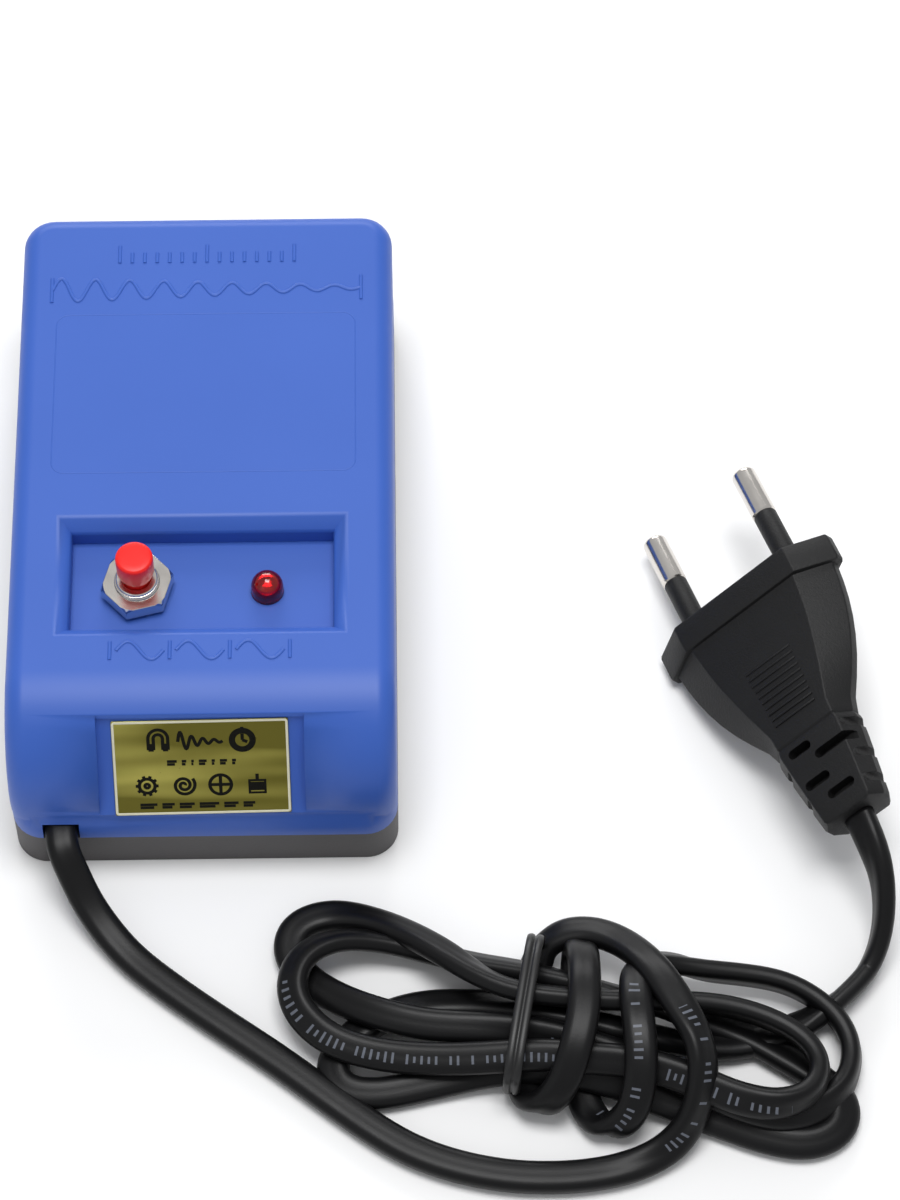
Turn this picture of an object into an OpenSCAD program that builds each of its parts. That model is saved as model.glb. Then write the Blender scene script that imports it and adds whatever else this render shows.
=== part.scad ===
// Bench demagnetizer: a plastic case with a laminated coil under its deck, a push switch and a lamp
// in a sunken pocket, and a flat two-core mains lead that is folded into a hank.
// Millimetres. Origin at the middle of the case's footprint, +Z up, +Y away from the label.

/* [Case] */
// Width of the case at its seam
case_w = 59.5; // [56:0.5:66]
// Depth of the case at its seam, front to back
case_l = 102; // [98:0.5:110]
// Height of the deck above the bench
case_h = 30; // [28:0.5:34]
// Height of the base tray, where the seam is
base_h = 8; // [7:0.5:9]
// Wall thickness of the mouldings
wall = 2; // [1.6:0.1:2.4]
// Radius of the case's upright corners
corner_r = 5; // [4:0.5:7]
// Radius of the big roll from the deck to the front face
shoulder_r = 16.5; // [14:0.5:17]
// Radius of the top edges
edge_r = 3; // [2:0.5:3.5]

/* [Control pocket] */
// Width of the pocket at the deck
pocket_w = 44.5; // [40:0.5:48]
// Size of the pocket at the deck, front to back
pocket_l = 21; // [19:0.5:23]
// Depth of the pocket
pocket_d = 5; // [4:0.5:5.5]
// Width of the pocket's sloped rim
pocket_draft = 2; // [1:0.5:3]
// Depth of the pocket's sloped rim, above its upright walls
pocket_rim = 2; // [1:0.5:3]
// Sideways distance from the middle to the push switch and to the lamp
control_x = 10; // [9:0.5:12]

/* [Push switch] */
// Outside diameter of the threaded bushing
bushing_d = 7; // [6:0.5:8]
// Size of the nut across its flats
nut_af = 10; // [9.5:0.5:11]
// Diameter of the push cap
cap_d = 5.8; // [5:0.2:6.2]
// Travel of the push cap
travel = 1.8; // [1:0.1:1.8]

/* [Lamp] */
// Diameter of the lamp
lamp_d = 5; // [4:0.5:5]

/* [Label] */
// Width of the foil label
label_w = 27.3; // [24:0.1:29]
// Height of the foil label along the slope
label_h = 16.2; // [14:0.1:16.5]

/* [Coil] */
// Width of the laminated core
core_w = 42; // [38:1:46]
// Thickness of the stack of laminations
core_t = 15; // [12:1:18]
// Height of the core
core_h = 22; // [20:1:23]

/* [Lead] */
// Width of the flat lead
lead_w = 5; // [4.6:0.1:5.4]
// Thickness of the flat lead
lead_t = 3.1; // [2.8:0.1:3.4]

/* [Plug] */
// Width of the plug's flange
plug_w = 34; // [33:0.5:35.5]
// Thickness of the plug's flange
plug_t = 11.4; // [11:0.2:13.6]
// Diameter of the plug pins
pin_d = 4; // [4:0.1:4.8]
// Length of the plug pins outside the flange
pin_l = 19; // [18:0.5:19]

/* [Hidden] */
$fn = 48;
eps = 0.01;

// Case
flare_h = 2;                                 // height of the sloped step above the seam band
flare_z = base_h + 4.5;                      // top of the step
top_w = case_w - 0.1;                        // width of the cover at the deck
front_y = -case_l / 2 + 1;                   // front face of the cover
back_y = case_l / 2 - 0.3;                   // back face of the cover
shoulder_z = case_h - shoulder_r;            // height of the shoulder's centre
shoulder_y = front_y + shoulder_r;           // the shoulder's centre, front to back
pocket_y = -17;                              // middle of the pocket, front to back
floor_z = case_h - pocket_d;                 // pocket floor
panel_z = floor_z - wall;                    // underside of the pocket floor
hull_fn = 32;

// Label facet: a plane that cuts across the shoulder
facet_tilt = 54.5;                           // slope from the horizontal
facet_y = -50.2;                             // lower edge of the facet
facet_z = 13.4;
facet_l = 16.7;                              // length of the facet along its slope
facet_w = 31.6;                              // width of the recess
label_t = 0.25;

// Screw places: four case posts, two bracket posts
post_x = 23.5;
post_front_y = -32;
post_back_y = 43;
post_r = 3.5;
screw_r = 1.45;
screw_head_r = 2.8;

// Coil, under the middle of the deck's marked field
core_y = 16;
core_z = 3.5;                                // underside of the yoke
limb_w = 14;                                 // centre limb
side_w = core_w / 6;                         // outer limbs and yoke
bobbin_wall = 1;
coil_z0 = core_z + side_w + bobbin_wall;     // lowest turn
coil_z1 = core_z + core_h - 2;               // highest turn
coil_t = 4.6;                                // thickness of the winding
tape_t = 0.4;
bracket_x = core_w / 2 + 3.2;                // screws of the strap's feet
bracket_l = 8;                               // width of the strap
bracket_t = 0.8;
foot_z = 5;                                  // top of the tray's bosses under the feet
foot_w = 6;
hook_w = 3;                                  // part of the strap that lies over the core

// Switch, from the pocket floor
washer_t = 0.6;
nut_t = 2.4;
bushing_end = floor_z + washer_t + nut_t + 1;
cap_z0 = bushing_end + travel + 0.2;
cap_h = 4.3;
stem_r = 2;
stem_gap = 0.06;                             // running clearance of the stem in the bushing
shoulder_t = 2;
house_z0 = 9;
house_floor = 1.2;
house_r = 5.4;
house_bore_r = 4.2;
contact_z = 15.2;
contact_t = 0.5;
blade_top = contact_z - travel - 0.1;

// Lamp
lamp_y = pocket_y - 0.3;
lamp_rim_t = 1;
lamp_dome_z = floor_z + 1.5;

// Lead outlet, in the cover's skirt
exit_x = -22;
exit_z = base_h + lead_t / 2 + 0.15;
outlet_w = lead_w + 0.6;
outlet_top = base_h + lead_t + 0.4;
lead_top = exit_z + lead_t / 2;
clamp_y = -43;                               // bar that grips the lead behind the outlet
clamp_l = 4.4;
clamp_t = 1.8;
clamp_pin_x = exit_x - 3.7;
clamp_pin_r = 0.8;
clamp_screw_x = exit_x + 5.2;
splice_y = 2.6;                              // where the hook-up wires meet the winding
splice_z = 9.2;
splice_x = [-6, 4, 7.5, 10.6];

// Lead: route points of the stretch from the case to the hank, and of the one from the hank to the plug
run_route = [[-22, -40, 9.7], [-22, -46, 9.7], [-22, -51, 9.7], [-21.5, -54, 9.2], [-20, -57, 7],
    [-18, -60.5, 4.6], [-15, -64.5, 2.8], [-11, -69, 2], [-5, -74, 1.8], [3, -80, 1.8],
    [12, -86.5, 1.8], [22, -94.5, 1.8], [31.5, -101, 1.8], [42, -104.5, 1.8], [52, -105.5, 1.8],
    [62, -104.5, 1.8], [69.5, -101.5, 2], [73.6, -97, 3.2], [74.4, -94, 4.6]];
tail_route = [[88, -82.4, 1.8], [93, -80, 1.8], [97.4, -76.8, 1.8], [100.8, -73.2, 2.2],
    [103, -69.2, 4.2], [103.8, -65, 7.6], [103.4, -60.5, 11], [101.8, -56, 13.5], [100.2, -51.8, 14.1]];

// Hank: two lobes and a tied waist, seen from above
hank_left = [28, -77];
hank_right = [84, -87];
hank_left_r = 16.5;
hank_right_r = 15;
hank_h = 11;
waist_half = 12;
waist_x = [46, 70];
tie_x = 48.5;
tie_w = 3;
tie_t = 0.9;
hank_turn = atan2(hank_right[1] - hank_left[1], hank_right[0] - hank_left[0]);

// Plug: it lies on its bevel, pins a little nose down
plug_at = [85, -11.4, 11];
plug_turn = 20.6;                            // about Z
plug_nose = -4.3;                            // pins dip towards the bench
plug_roll = -35;                             // onto the bevel
flange_l = 5;
flange_flat = 22;                            // width of the flange's flat faces
grip_l = 24;                                 // the tapering body behind the flange
relief_l = 14.5;                             // slotted strain relief
relief_w = 10;
relief_h = 8.4;
relief_rings = 4;
pin_pitch = 18.6;
pin_sleeve_l = 10;
pin_sleeve_r = pin_d / 2 - 0.1;
pin_core_r = 1.5;
pin_bevel = 0.6;
bridge_l = 7.8;                              // insert that carries the pins
pin_root = bridge_l - 0.2;

// ---- shapes that more than one piece uses

module rounded_slab(w, l, h, r) {
    linear_extrude(h)
        union() {
            square([w - 2 * r, l], center = true);
            square([w, l - 2 * r], center = true);
            for (x = [-1, 1], y = [-1, 1])
                translate([x * (w / 2 - r), y * (l / 2 - r)]) circle(r);
        }
}

module along_x(w) {
    translate([-w / 2, 0, 0]) rotate([90, 0, 90]) linear_extrude(w) children();
}

module along_y(l) {
    translate([0, l / 2, 0]) rotate([90, 0, 0]) linear_extrude(l) children();
}

module ring(r_out, r_in, h) {
    difference() {
        cylinder(r = r_out, h = h);
        translate([0, 0, -1]) cylinder(r = r_in, h = h + 2);
    }
}

module pan_screw(length, r, head_r) {
    cylinder(r = r, h = length);
    difference() {
        translate([0, 0, -1.6]) cylinder(r = head_r, h = 1.6);
        for (a = [0, 90])
            translate([0, 0, -1.6]) rotate([0, 0, a]) cube([head_r * 1.3, 0.7, 1.4], center = true);
    }
}

module at_posts() {
    for (x = [-post_x, post_x], y = [post_front_y, post_back_y])
        translate([x, y, 0]) children();
}

module at_bracket_feet() {
    for (x = [-bracket_x, bracket_x])
        translate([x, core_y, 0]) children();
}

module at_switch() {
    translate([-control_x, pocket_y, 0]) children();
}

module at_lamp() {
    translate([control_x, lamp_y, 0]) children();
}

module at_plug() {
    translate(plug_at) rotate([0, 0, plug_turn]) rotate([plug_nose, 0, 0])
        rotate([0, plug_roll, 0]) children();
}

// A tube with an oval section swept along a smooth curve through points
function hermite(a, b, c, d, t) = 0.5 * ((2 * b) + (c - a) * t + (2 * a - 5 * b + 4 * c - d) * t * t
    + (3 * b - a - 3 * c + d) * t * t * t);
function smooth(p, n) = concat(
    [for (i = [0 : len(p) - 2], k = [0 : n - 1])
        hermite(p[max(i - 1, 0)], p[i], p[i + 1], p[min(i + 2, len(p) - 1)], k / n)],
    [p[len(p) - 1]]);
function unit(v) = v / norm(v);
function heading(p, i) = unit(p[min(i + 1, len(p) - 1)] - p[max(i - 1, 0)]);
function sideways(t) = unit(cross(t, [0, 0, 1]));
module swept(p, w, h, sides) {
    rings = len(p);
    points = [for (i = [0 : rings - 1], k = [0 : sides - 1])
        let (t = heading(p, i), s = sideways(t), u = cross(s, t), a = 360 * k / sides + 22.5)
        p[i] + s * (w / 2 * cos(a)) + u * (h / 2 * sin(a))];
    walls = [for (i = [0 : rings - 2], k = [0 : sides - 1])
        let (a = i * sides, j = (k + 1) % sides)
        [a + k, a + j, a + sides + j, a + sides + k]];
    first = [for (k = [sides - 1 : -1 : 0]) k];
    last = [for (k = [0 : sides - 1]) (rings - 1) * sides + k];
    polyhedron(points, concat([first], walls, [last]));
}

module wire(p, d, n = 2) {
    swept(smooth(p, n), d, d, 8);
}

// ---- case

module base_tray() {
    color("dimgray")
    difference() {
        union() {
            difference() {
                rounded_slab(case_w, case_l, base_h, corner_r);
                translate([0, 0, wall])
                    rounded_slab(case_w - 2 * wall - 1, case_l - 2 * wall - 1, base_h, corner_r - wall);
            }
            at_posts() cylinder(r = post_r, h = base_h - 0.2);
            at_bracket_feet() cylinder(r = 2.6, h = foot_z);
            translate([clamp_screw_x, clamp_y, 0]) cylinder(r = 2, h = base_h);
            translate([clamp_pin_x, clamp_y, 0]) cylinder(r = clamp_pin_r, h = lead_top + clamp_t);
        }
        at_posts() {
            translate([0, 0, -1]) cylinder(r = screw_r + 0.2, h = base_h + 2);
            translate([0, 0, -1]) cylinder(r = screw_head_r + 0.3, h = 3.6);
        }
        at_bracket_feet() translate([0, 0, wall]) cylinder(r = 1.2, h = foot_z);
        translate([clamp_screw_x, clamp_y, 3]) cylinder(r = 0.9, h = base_h);
    }
}

// A disc of the corner's radius with a rolled rim
module corner_knob() {
    rotate_extrude()
        intersection() {
            translate([corner_r - edge_r, 0]) circle(edge_r, $fn = 24);
            translate([0, -edge_r]) square([corner_r, 2 * edge_r]);
        }
}

// A slice of the cover above its step
module cover_slab(h) {
    translate([0, (front_y + back_y) / 2, 0]) rounded_slab(top_w, back_y - front_y, h, corner_r);
}

module cover_shell() {
    intersection() {
        hull($fn = hull_fn) {
            translate([0, 0, flare_z - 2.5]) cover_slab(2.5);
            for (x = [-1, 1]) {
                translate([x * (top_w / 2 - edge_r), shoulder_y, shoulder_z]) rotate([0, 90, 0])
                    rotate_extrude($fn = 72) translate([shoulder_r - edge_r, 0]) circle(edge_r, $fn = 24);
                translate([x * (top_w / 2 - corner_r), back_y - corner_r, case_h - edge_r])
                    corner_knob();
            }
        }
        translate([-case_w, -case_l, base_h + 1]) cube([2 * case_w, 2 * case_l, case_h]);
    }
    hull($fn = hull_fn) {
        translate([0, 0, base_h]) rounded_slab(case_w, case_l, flare_z - flare_h - base_h, corner_r);
        translate([0, 0, flare_z - 0.2]) cover_slab(0.2);
    }
}

module cover_cavity() {
    r = shoulder_r - wall - 0.2;
    intersection() {
        along_x(case_w)
            union() {
                translate([shoulder_y, shoulder_z]) circle(r);
                translate([front_y + wall + 0.2, base_h - 1])
                    square([back_y - front_y - 2 * wall - 0.4, shoulder_z - base_h + 1]);
                translate([shoulder_y, base_h - 1])
                    square([back_y - wall - 0.2 - shoulder_y, shoulder_z + r - base_h + 1]);
            }
        translate([0, 0, base_h - 1])
            rounded_slab(top_w - 2 * wall - 1, case_l - 2 * wall - 2, case_h, corner_r - wall);
    }
}

// Upright walls under a sloped rim, seen along one axis; half is half the pocket's size at the deck
module pocket_outline(half, grow) {
    low = half - pocket_draft + grow;
    high = half + grow;
    polygon([[-low, floor_z - grow], [low, floor_z - grow], [low, case_h - pocket_rim], [high, case_h],
        [high, case_h + 3], [-high, case_h + 3], [-high, case_h], [-low, case_h - pocket_rim]]);
}

module pocket_space(grow) {
    translate([0, pocket_y, 0])
        intersection() {
            along_y(case_l) pocket_outline(pocket_w / 2, grow);
            along_x(case_w) pocket_outline(pocket_l / 2, grow);
        }
}

module facet_space() {
    top_y = facet_y + facet_l * cos(facet_tilt);
    top_z = facet_z + facet_l * sin(facet_tilt);
    along_x(facet_w)
        polygon([[facet_y, facet_z], [top_y, top_z], [top_y - 0.8, case_h + 2],
            [-case_l / 2 - 3, case_h + 2], [-case_l / 2 - 3, facet_z]]);
}

module facet_backing() {
    top_y = facet_y + facet_l * cos(facet_tilt);
    top_z = facet_z + facet_l * sin(facet_tilt);
    along_x(facet_w + 2 * wall)
        polygon([[facet_y - 1, facet_z - 1.4], [facet_y + wall * 1.2, facet_z - 1.4],
            [top_y + wall * 1.3, top_z - 1], [top_y + wall, top_z + 1.6], [top_y - 2, top_z]]);
}

module top_cover() {
    color("royalblue")
    difference() {
        union() {
            difference() {
                cover_shell();
                cover_cavity();
            }
            intersection() {
                cover_shell();
                union() {
                    pocket_space(wall);
                    facet_backing();
                }
            }
            at_posts() translate([0, 0, base_h]) cylinder(r = post_r, h = 17);
            for (y = [post_front_y, post_back_y], x = [-1, 1])
                translate([x * 26.5 - 1, y - 1, base_h]) cube([2, 2, 17]);
        }
        pocket_space(0);
        facet_space();
        at_posts() translate([0, 0, base_h - 1]) cylinder(r = screw_r, h = 11);
        at_switch() translate([0, 0, panel_z - 1]) cylinder(r = bushing_d / 2 + 0.05, h = wall + 2);
        at_lamp() translate([0, 0, panel_z - 1]) cylinder(r = lamp_d / 2 + 0.05, h = wall + 2);
        translate([exit_x - outlet_w / 2, -case_l / 2 - 1, base_h - 1])
            cube([outlet_w, 8, outlet_top - base_h + 1]);
    }
}

module foil_label() {
    color("goldenrod")
    translate([0, facet_y, facet_z]) rotate([facet_tilt, 0, 0])
        translate([-label_w / 2, 0.3, 0]) cube([label_w, label_h, label_t]);
}

module base_screws() {
    color("silver")
    at_posts() translate([0, 0, 2.6]) pan_screw(13, screw_r, screw_head_r);
}

// ---- coil

module e_profile() {
    difference() {
        translate([-core_w / 2, 0]) square([core_w, core_h]);
        for (x = [-1, 1])
            translate([x * (limb_w / 2 + core_w / 2 - side_w) / 2, core_h / 2 + side_w])
                square([core_w / 2 - side_w - limb_w / 2, core_h], center = true);
    }
}

module core_laminations() {
    color("slategray")
    translate([0, core_y, core_z]) along_y(core_t) e_profile();
}

module around_limb(grow, z0, z1) {
    translate([0, core_y, (z0 + z1) / 2])
        cube([limb_w + 2 * grow, core_t + 2 * grow, z1 - z0], center = true);
}

module coil_bobbin() {
    top = coil_z1 + bobbin_wall;
    color("ivory")
    difference() {
        union() {
            around_limb(bobbin_wall, coil_z0 - bobbin_wall, top);
            around_limb(6.5, coil_z0 - bobbin_wall, coil_z0);
            around_limb(6.5, coil_z1, top);
        }
        around_limb(eps, 0, case_h);
    }
}

module coil_winding() {
    color("peru")
    difference() {
        around_limb(bobbin_wall + coil_t, coil_z0 + eps, coil_z1 - eps);
        around_limb(bobbin_wall + eps, 0, case_h);
    }
}

module coil_tape() {
    color("khaki")
    difference() {
        around_limb(bobbin_wall + coil_t + tape_t, coil_z0 + 0.3, coil_z1 - 0.3);
        around_limb(bobbin_wall + coil_t + eps, 0, case_h);
    }
}

module strap_profile() {
    x0 = core_w / 2 + eps;
    top = core_z + core_h + eps;
    square_from_to(x0, foot_z, x0 + foot_w, foot_z + bracket_t);
    square_from_to(x0, foot_z, x0 + bracket_t, top + bracket_t);
    square_from_to(x0 - hook_w, top, x0 + bracket_t, top + bracket_t);
}

module square_from_to(x0, z0, x1, z1) {
    translate([x0, z0]) square([x1 - x0, z1 - z0]);
}

module core_bracket() {
    color("lightsteelblue")
    difference() {
        for (side = [0, 1])
            translate([0, core_y, 0]) mirror([side, 0, 0]) along_y(bracket_l) strap_profile();
        at_bracket_feet() translate([0, 0, foot_z - 1]) cylinder(r = 1.3, h = 3);
    }
}

module bracket_screws() {
    color("silver")
    at_bracket_feet() translate([0, 0, foot_z + bracket_t + eps])
        mirror([0, 0, 1]) pan_screw(3.6, 1.2, 2.2);
}

// ---- push switch

module switch_bushing() {
    color("silver")
    at_switch()
    difference() {
        union() {
            translate([0, 0, panel_z]) cylinder(r = bushing_d / 2, h = bushing_end - panel_z);
            translate([0, 0, panel_z - shoulder_t]) cylinder(r = house_bore_r, h = shoulder_t);
        }
        translate([0, 0, panel_z - shoulder_t - 1])
            cylinder(r = stem_r + stem_gap, h = bushing_end - panel_z + shoulder_t + 2);
    }
}

module switch_lock_washer() {
    r_out = nut_af / 2 + 0.2;
    color("gainsboro")
    at_switch() translate([0, 0, floor_z])
    difference() {
        cylinder(r = r_out, h = washer_t);
        translate([0, 0, -1]) cylinder(r = bushing_d / 2 + 0.05, h = washer_t + 2);
        for (i = [0 : 11])
            rotate([0, 0, 30 * i]) translate([r_out, 0, washer_t / 2]) cube([1, 0.5, 2], center = true);
    }
}

module switch_nut() {
    color("silver")
    at_switch() translate([0, 0, floor_z + washer_t]) rotate([0, 0, 14])
    difference() {
        intersection() {
            cylinder(d = nut_af / cos(30), h = nut_t, $fn = 6);
            translate([0, 0, -nut_t * 1.25]) cylinder(r1 = nut_af, r2 = nut_af / 2 - 0.3, h = nut_t * 2.5);
        }
        translate([0, 0, -1]) cylinder(r = bushing_d / 2 + 0.02, h = nut_t + 2);
    }
}

module switch_housing() {
    color("black")
    at_switch()
    difference() {
        translate([0, 0, house_z0]) cylinder(r = house_r, h = panel_z - house_z0);
        translate([0, 0, house_z0 + house_floor]) cylinder(r = house_bore_r, h = panel_z);
        for (x = [-1, 1]) translate([x * 3, 0, house_z0]) cube([0.7, 1.8, 4], center = true);
    }
}

module switch_terminals() {
    color("goldenrod")
    at_switch()
    for (x = [-1, 1])
        translate([x * 3, 0, (4.5 + blade_top) / 2]) cube([0.5, 1.6, blade_top - 4.5], center = true);
}

module button_cap() {
    color("red")
    at_switch() translate([0, 0, cap_z0])
    difference() {
        rotate_extrude()
            union() {
                square([cap_d / 2, cap_h - 0.6]);
                square([cap_d / 2 - 0.6, cap_h]);
                translate([cap_d / 2 - 0.6, cap_h - 0.6]) circle(0.6);
            }
        translate([0, 0, -1]) cylinder(r = stem_r - 0.4, h = 3.4);
    }
}

module button_plunger() {
    color("white")
    at_switch() {
        translate([0, 0, cap_z0 - eps]) cylinder(r = stem_r - 0.4, h = 2.4);
        translate([0, 0, contact_z + contact_t])
            cylinder(r = stem_r, h = cap_z0 - contact_z - contact_t);
        translate([0, 0, panel_z - shoulder_t - 1.05]) cylinder(r = 3.2, h = 1);
        translate([0, 0, contact_z - 0.7]) cylinder(r = 1.4, h = 1.5);
    }
}

module switch_contact() {
    color("gold")
    at_switch() translate([0, 0, contact_z]) ring(3.8, 1.4, contact_t);
}

module switch_spring() {
    z0 = house_z0 + house_floor + 0.25;
    z1 = contact_z - 0.95;
    turns = 4;
    steps = 16;
    r = 1.3;
    path = [for (i = [0 : turns * steps])
        [r * cos(360 * i / steps), r * sin(360 * i / steps), z0 + (z1 - z0) * i / (turns * steps)]];
    color("silver")
    at_switch() swept(path, 0.35, 0.35, 6);
}

// ---- lamp

module led_lens() {
    color("red")
    at_lamp() {
        translate([0, 0, panel_z - lamp_rim_t]) cylinder(r = lamp_d / 2 + 0.4, h = lamp_rim_t);
        translate([0, 0, panel_z - 3.2]) cylinder(d = lamp_d, h = 3.2 + lamp_dome_z - panel_z);
        translate([0, 0, lamp_dome_z]) sphere(d = lamp_d);
    }
}

module led_leads() {
    color("silver")
    at_lamp()
    for (x = [-1, 1])
        translate([x * 1.27, 0, (panel_z - 3.2 + 11) / 2])
            cube([0.5, 0.5, panel_z - 3.2 - 11], center = true);
}

module lead_sleeves() {
    color("dimgray")
    at_lamp()
    for (x = [-1, 1])
        translate([x * 1.27, 0, 13])
            difference() {
                cylinder(r = 0.75, h = 5);
                translate([0, 0, 2.5]) cube([0.5, 0.5, 6], center = true);
            }
}

module led_resistor() {
    color("tan")
    at_lamp() translate([-1.27, 0, 5])
        rotate_extrude()
            union() {
                square([0.3, 6]);
                translate([0, 0.4]) square([0.9, 5.2]);
                translate([0, 0.5]) square([1.15, 1.4]);
                translate([0, 4.1]) square([1.15, 1.4]);
            }
}

// ---- lead inside the case

module cord_clamp() {
    color("dimgray")
    difference() {
        translate([clamp_pin_x - 0.9, clamp_y - clamp_l / 2, lead_top])
            cube([clamp_screw_x - clamp_pin_x + 3, clamp_l, clamp_t]);
        translate([clamp_screw_x, clamp_y, lead_top - 1]) cylinder(r = 1.05, h = 5);
        translate([clamp_pin_x, clamp_y, lead_top - 1]) cylinder(r = clamp_pin_r, h = 5);
    }
}

module clamp_screw() {
    color("silver")
    translate([clamp_screw_x, clamp_y, lead_top + clamp_t + eps])
        mirror([0, 0, 1]) pan_screw(9, 0.9, 1.7);
}

// One insulated core to the switch and one to the coil
module core_wires() {
    switch_x = -control_x - 3;
    color("saddlebrown")
        wire([[-23.1, -39.9, 9.7], [-22.2, -38.4, 9.6], [-18.4, -35.8, 9], [-17.4, -30, 7],
            [switch_x - 2.4, -21, 5], [switch_x - 0.4, pocket_y, 4.2]], 1.6);
    color("steelblue")
        wire([[-20.9, -39.9, 9.7], [-19.8, -38.6, 9.4], [-15.6, -36, 8], [-13.6, -29, 5.6],
            [-7, -22, 4], [-2, -14, 4], [-3, -4, 5], [splice_x[0], splice_y, 9]], 1.6);
}

// The switch's return to the coil, and the lamp's two wires
module coil_wires() {
    switch_x = -control_x + 3;
    color("firebrick") {
        wire([[switch_x + 0.4, pocket_y, 4.2], [-5, -11, 6.2], [0, -6, 7.6], [3, -1, 7.8],
            [splice_x[1], splice_y, 9]], 1.2);
        wire([[control_x - 1.27, lamp_y, 4.4], [7.6, -12, 4.2], [6.2, -6, 5.6], [7, 0, 7],
            [splice_x[2], splice_y, 9]], 1);
        wire([[control_x + 1.27, lamp_y, 10.4], [12.4, -12, 7], [11.4, -5, 6], [11, 0, 8],
            [splice_x[3], splice_y, 9]], 1);
    }
}

module splice_caps() {
    color("whitesmoke")
    for (x = splice_x)
        translate([x, splice_y, splice_z]) cylinder(r = 1.1, h = 1.2);
}

// ---- lead outside the case

module cord_run() {
    color("black") swept(smooth(run_route, 2), lead_w, lead_t, 8);
}

module cord_tail() {
    color("black") swept(smooth(tail_route, 3), lead_w, lead_t, 8);
}

module hank_outline() {
    n = [-sin(hank_turn), cos(hank_turn)];
    lap_left = hank_left_r - 0.3;
    lap_right = hank_right_r - 0.3;
    along = function (x) hank_left + (hank_right - hank_left)
        * (x - hank_left[0]) / (hank_right[0] - hank_left[0]);
    union() {
        translate(hank_left) circle(hank_left_r);
        translate(hank_right) circle(hank_right_r);
        polygon([hank_left - n * lap_left, along(waist_x[0]) - n * waist_half,
            along(waist_x[1]) - n * waist_half, hank_right - n * lap_right,
            hank_right + n * lap_right, along(waist_x[1]) + n * waist_half,
            along(waist_x[0]) + n * waist_half, hank_left + n * lap_left]);
    }
}

module cord_hank() {
    color("black") linear_extrude(hank_h) hank_outline();
}

module cord_tie() {
    mid = hank_left + (hank_right - hank_left)
        * (tie_x - hank_left[0]) / (hank_right[0] - hank_left[0]);
    color("black")
    translate([mid[0], mid[1], 0]) rotate([0, 0, hank_turn])
        along_x(tie_w)
            difference() {
                translate([-waist_half - tie_t, 0]) square([2 * (waist_half + tie_t), hank_h + tie_t]);
                translate([-waist_half + 0.3, tie_t]) square([2 * waist_half - 0.6, hank_h - tie_t - 0.3]);
            }
}

// ---- plug

module bevelled(w, flat, t) {
    polygon([[-w / 2, 0], [-flat / 2, -t / 2], [flat / 2, -t / 2], [w / 2, 0],
        [flat / 2, t / 2], [-flat / 2, t / 2]]);
}

module plug_slab(l, w, flat, t) {
    rotate([90, 0, 0]) linear_extrude(l) bevelled(w, flat, t);
}

module bridge_block() {
    translate([0, -bridge_l / 2, 0]) cube([pin_pitch + 6, bridge_l, 4.4], center = true);
}

module plug_body() {
    relief_y = -flange_l - grip_l;
    step = relief_l / relief_rings;
    color([0.12, 0.12, 0.13])
    at_plug()
    difference() {
        union() {
            plug_slab(flange_l, plug_w, flange_flat, plug_t);
            hull() {
                translate([0, -flange_l, 0]) plug_slab(0.1, plug_w - 2.4, flange_flat - 1.6, plug_t - 1.6);
                translate([0, -flange_l - 12, 0])
                    plug_slab(0.1, plug_w - 7.5, flange_flat - 6, plug_t - 2);
                translate([0, relief_y, 0]) plug_slab(0.1, relief_w + 3, relief_w - 2, relief_h + 0.6);
            }
            for (i = [0 : relief_rings - 1]) {
                s = 1 - 0.05 * i;
                translate([0, relief_y - i * step - 0.9, 0])
                    plug_slab(step - 0.9, relief_w * s + 1, relief_w * s - 2, relief_h * s);
            }
            translate([0, relief_y - relief_l / 2, 0])
                cube([relief_w - 3, relief_l, relief_h - 3], center = true);
        }
        for (x = [-1, 1])
            translate([x * pin_pitch / 2, 0.01, 0]) rotate([90, 0, 0]) cylinder(r = pin_sleeve_r, h = 4);
        bridge_block();
        translate([0, relief_y - relief_l, 0]) cube([lead_w, 3, lead_t], center = true);
    }
}

module plug_bridge() {
    color("gray")
    at_plug()
    difference() {
        bridge_block();
        for (x = [-1, 1])
            translate([x * pin_pitch / 2, 1, 0]) rotate([90, 0, 0]) cylinder(r = pin_core_r, h = bridge_l + 2);
    }
}

module pin_sleeves() {
    color([0.15, 0.15, 0.16])
    at_plug()
    for (x = [-1, 1])
        translate([x * pin_pitch / 2, pin_sleeve_l, 0]) rotate([90, 0, 0])
            ring(pin_sleeve_r, pin_core_r, pin_sleeve_l - eps);
}

module plug_pins() {
    bare = pin_l - pin_sleeve_l;
    color("gainsboro")
    at_plug()
    for (x = [-1, 1])
        translate([x * pin_pitch / 2, 0, 0]) rotate([-90, 0, 0]) {
            translate([0, 0, -pin_root]) cylinder(r = pin_core_r, h = pin_root + pin_sleeve_l + eps);
            translate([0, 0, pin_sleeve_l]) cylinder(d = pin_d, h = bare - pin_bevel);
            translate([0, 0, pin_l - pin_bevel]) cylinder(d1 = pin_d, d2 = pin_d - 1.2, h = pin_bevel);
        }
}

base_tray();
top_cover();
foil_label();
base_screws();
core_laminations();
coil_bobbin();
coil_winding();
coil_tape();
core_bracket();
bracket_screws();
switch_bushing();
switch_nut();
switch_lock_washer();
switch_housing();
switch_terminals();
button_cap();
button_plunger();
switch_spring();
switch_contact();
led_lens();
led_leads();
led_resistor();
lead_sleeves();
cord_clamp();
clamp_screw();
core_wires();
coil_wires();
splice_caps();
cord_run();
cord_hank();
cord_tail();
cord_tie();
plug_body();
plug_bridge();
pin_sleeves();
plug_pins();
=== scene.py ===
"""A watchmaker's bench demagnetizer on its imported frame: case, controls, foil label, lead and plug."""
import math

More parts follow.
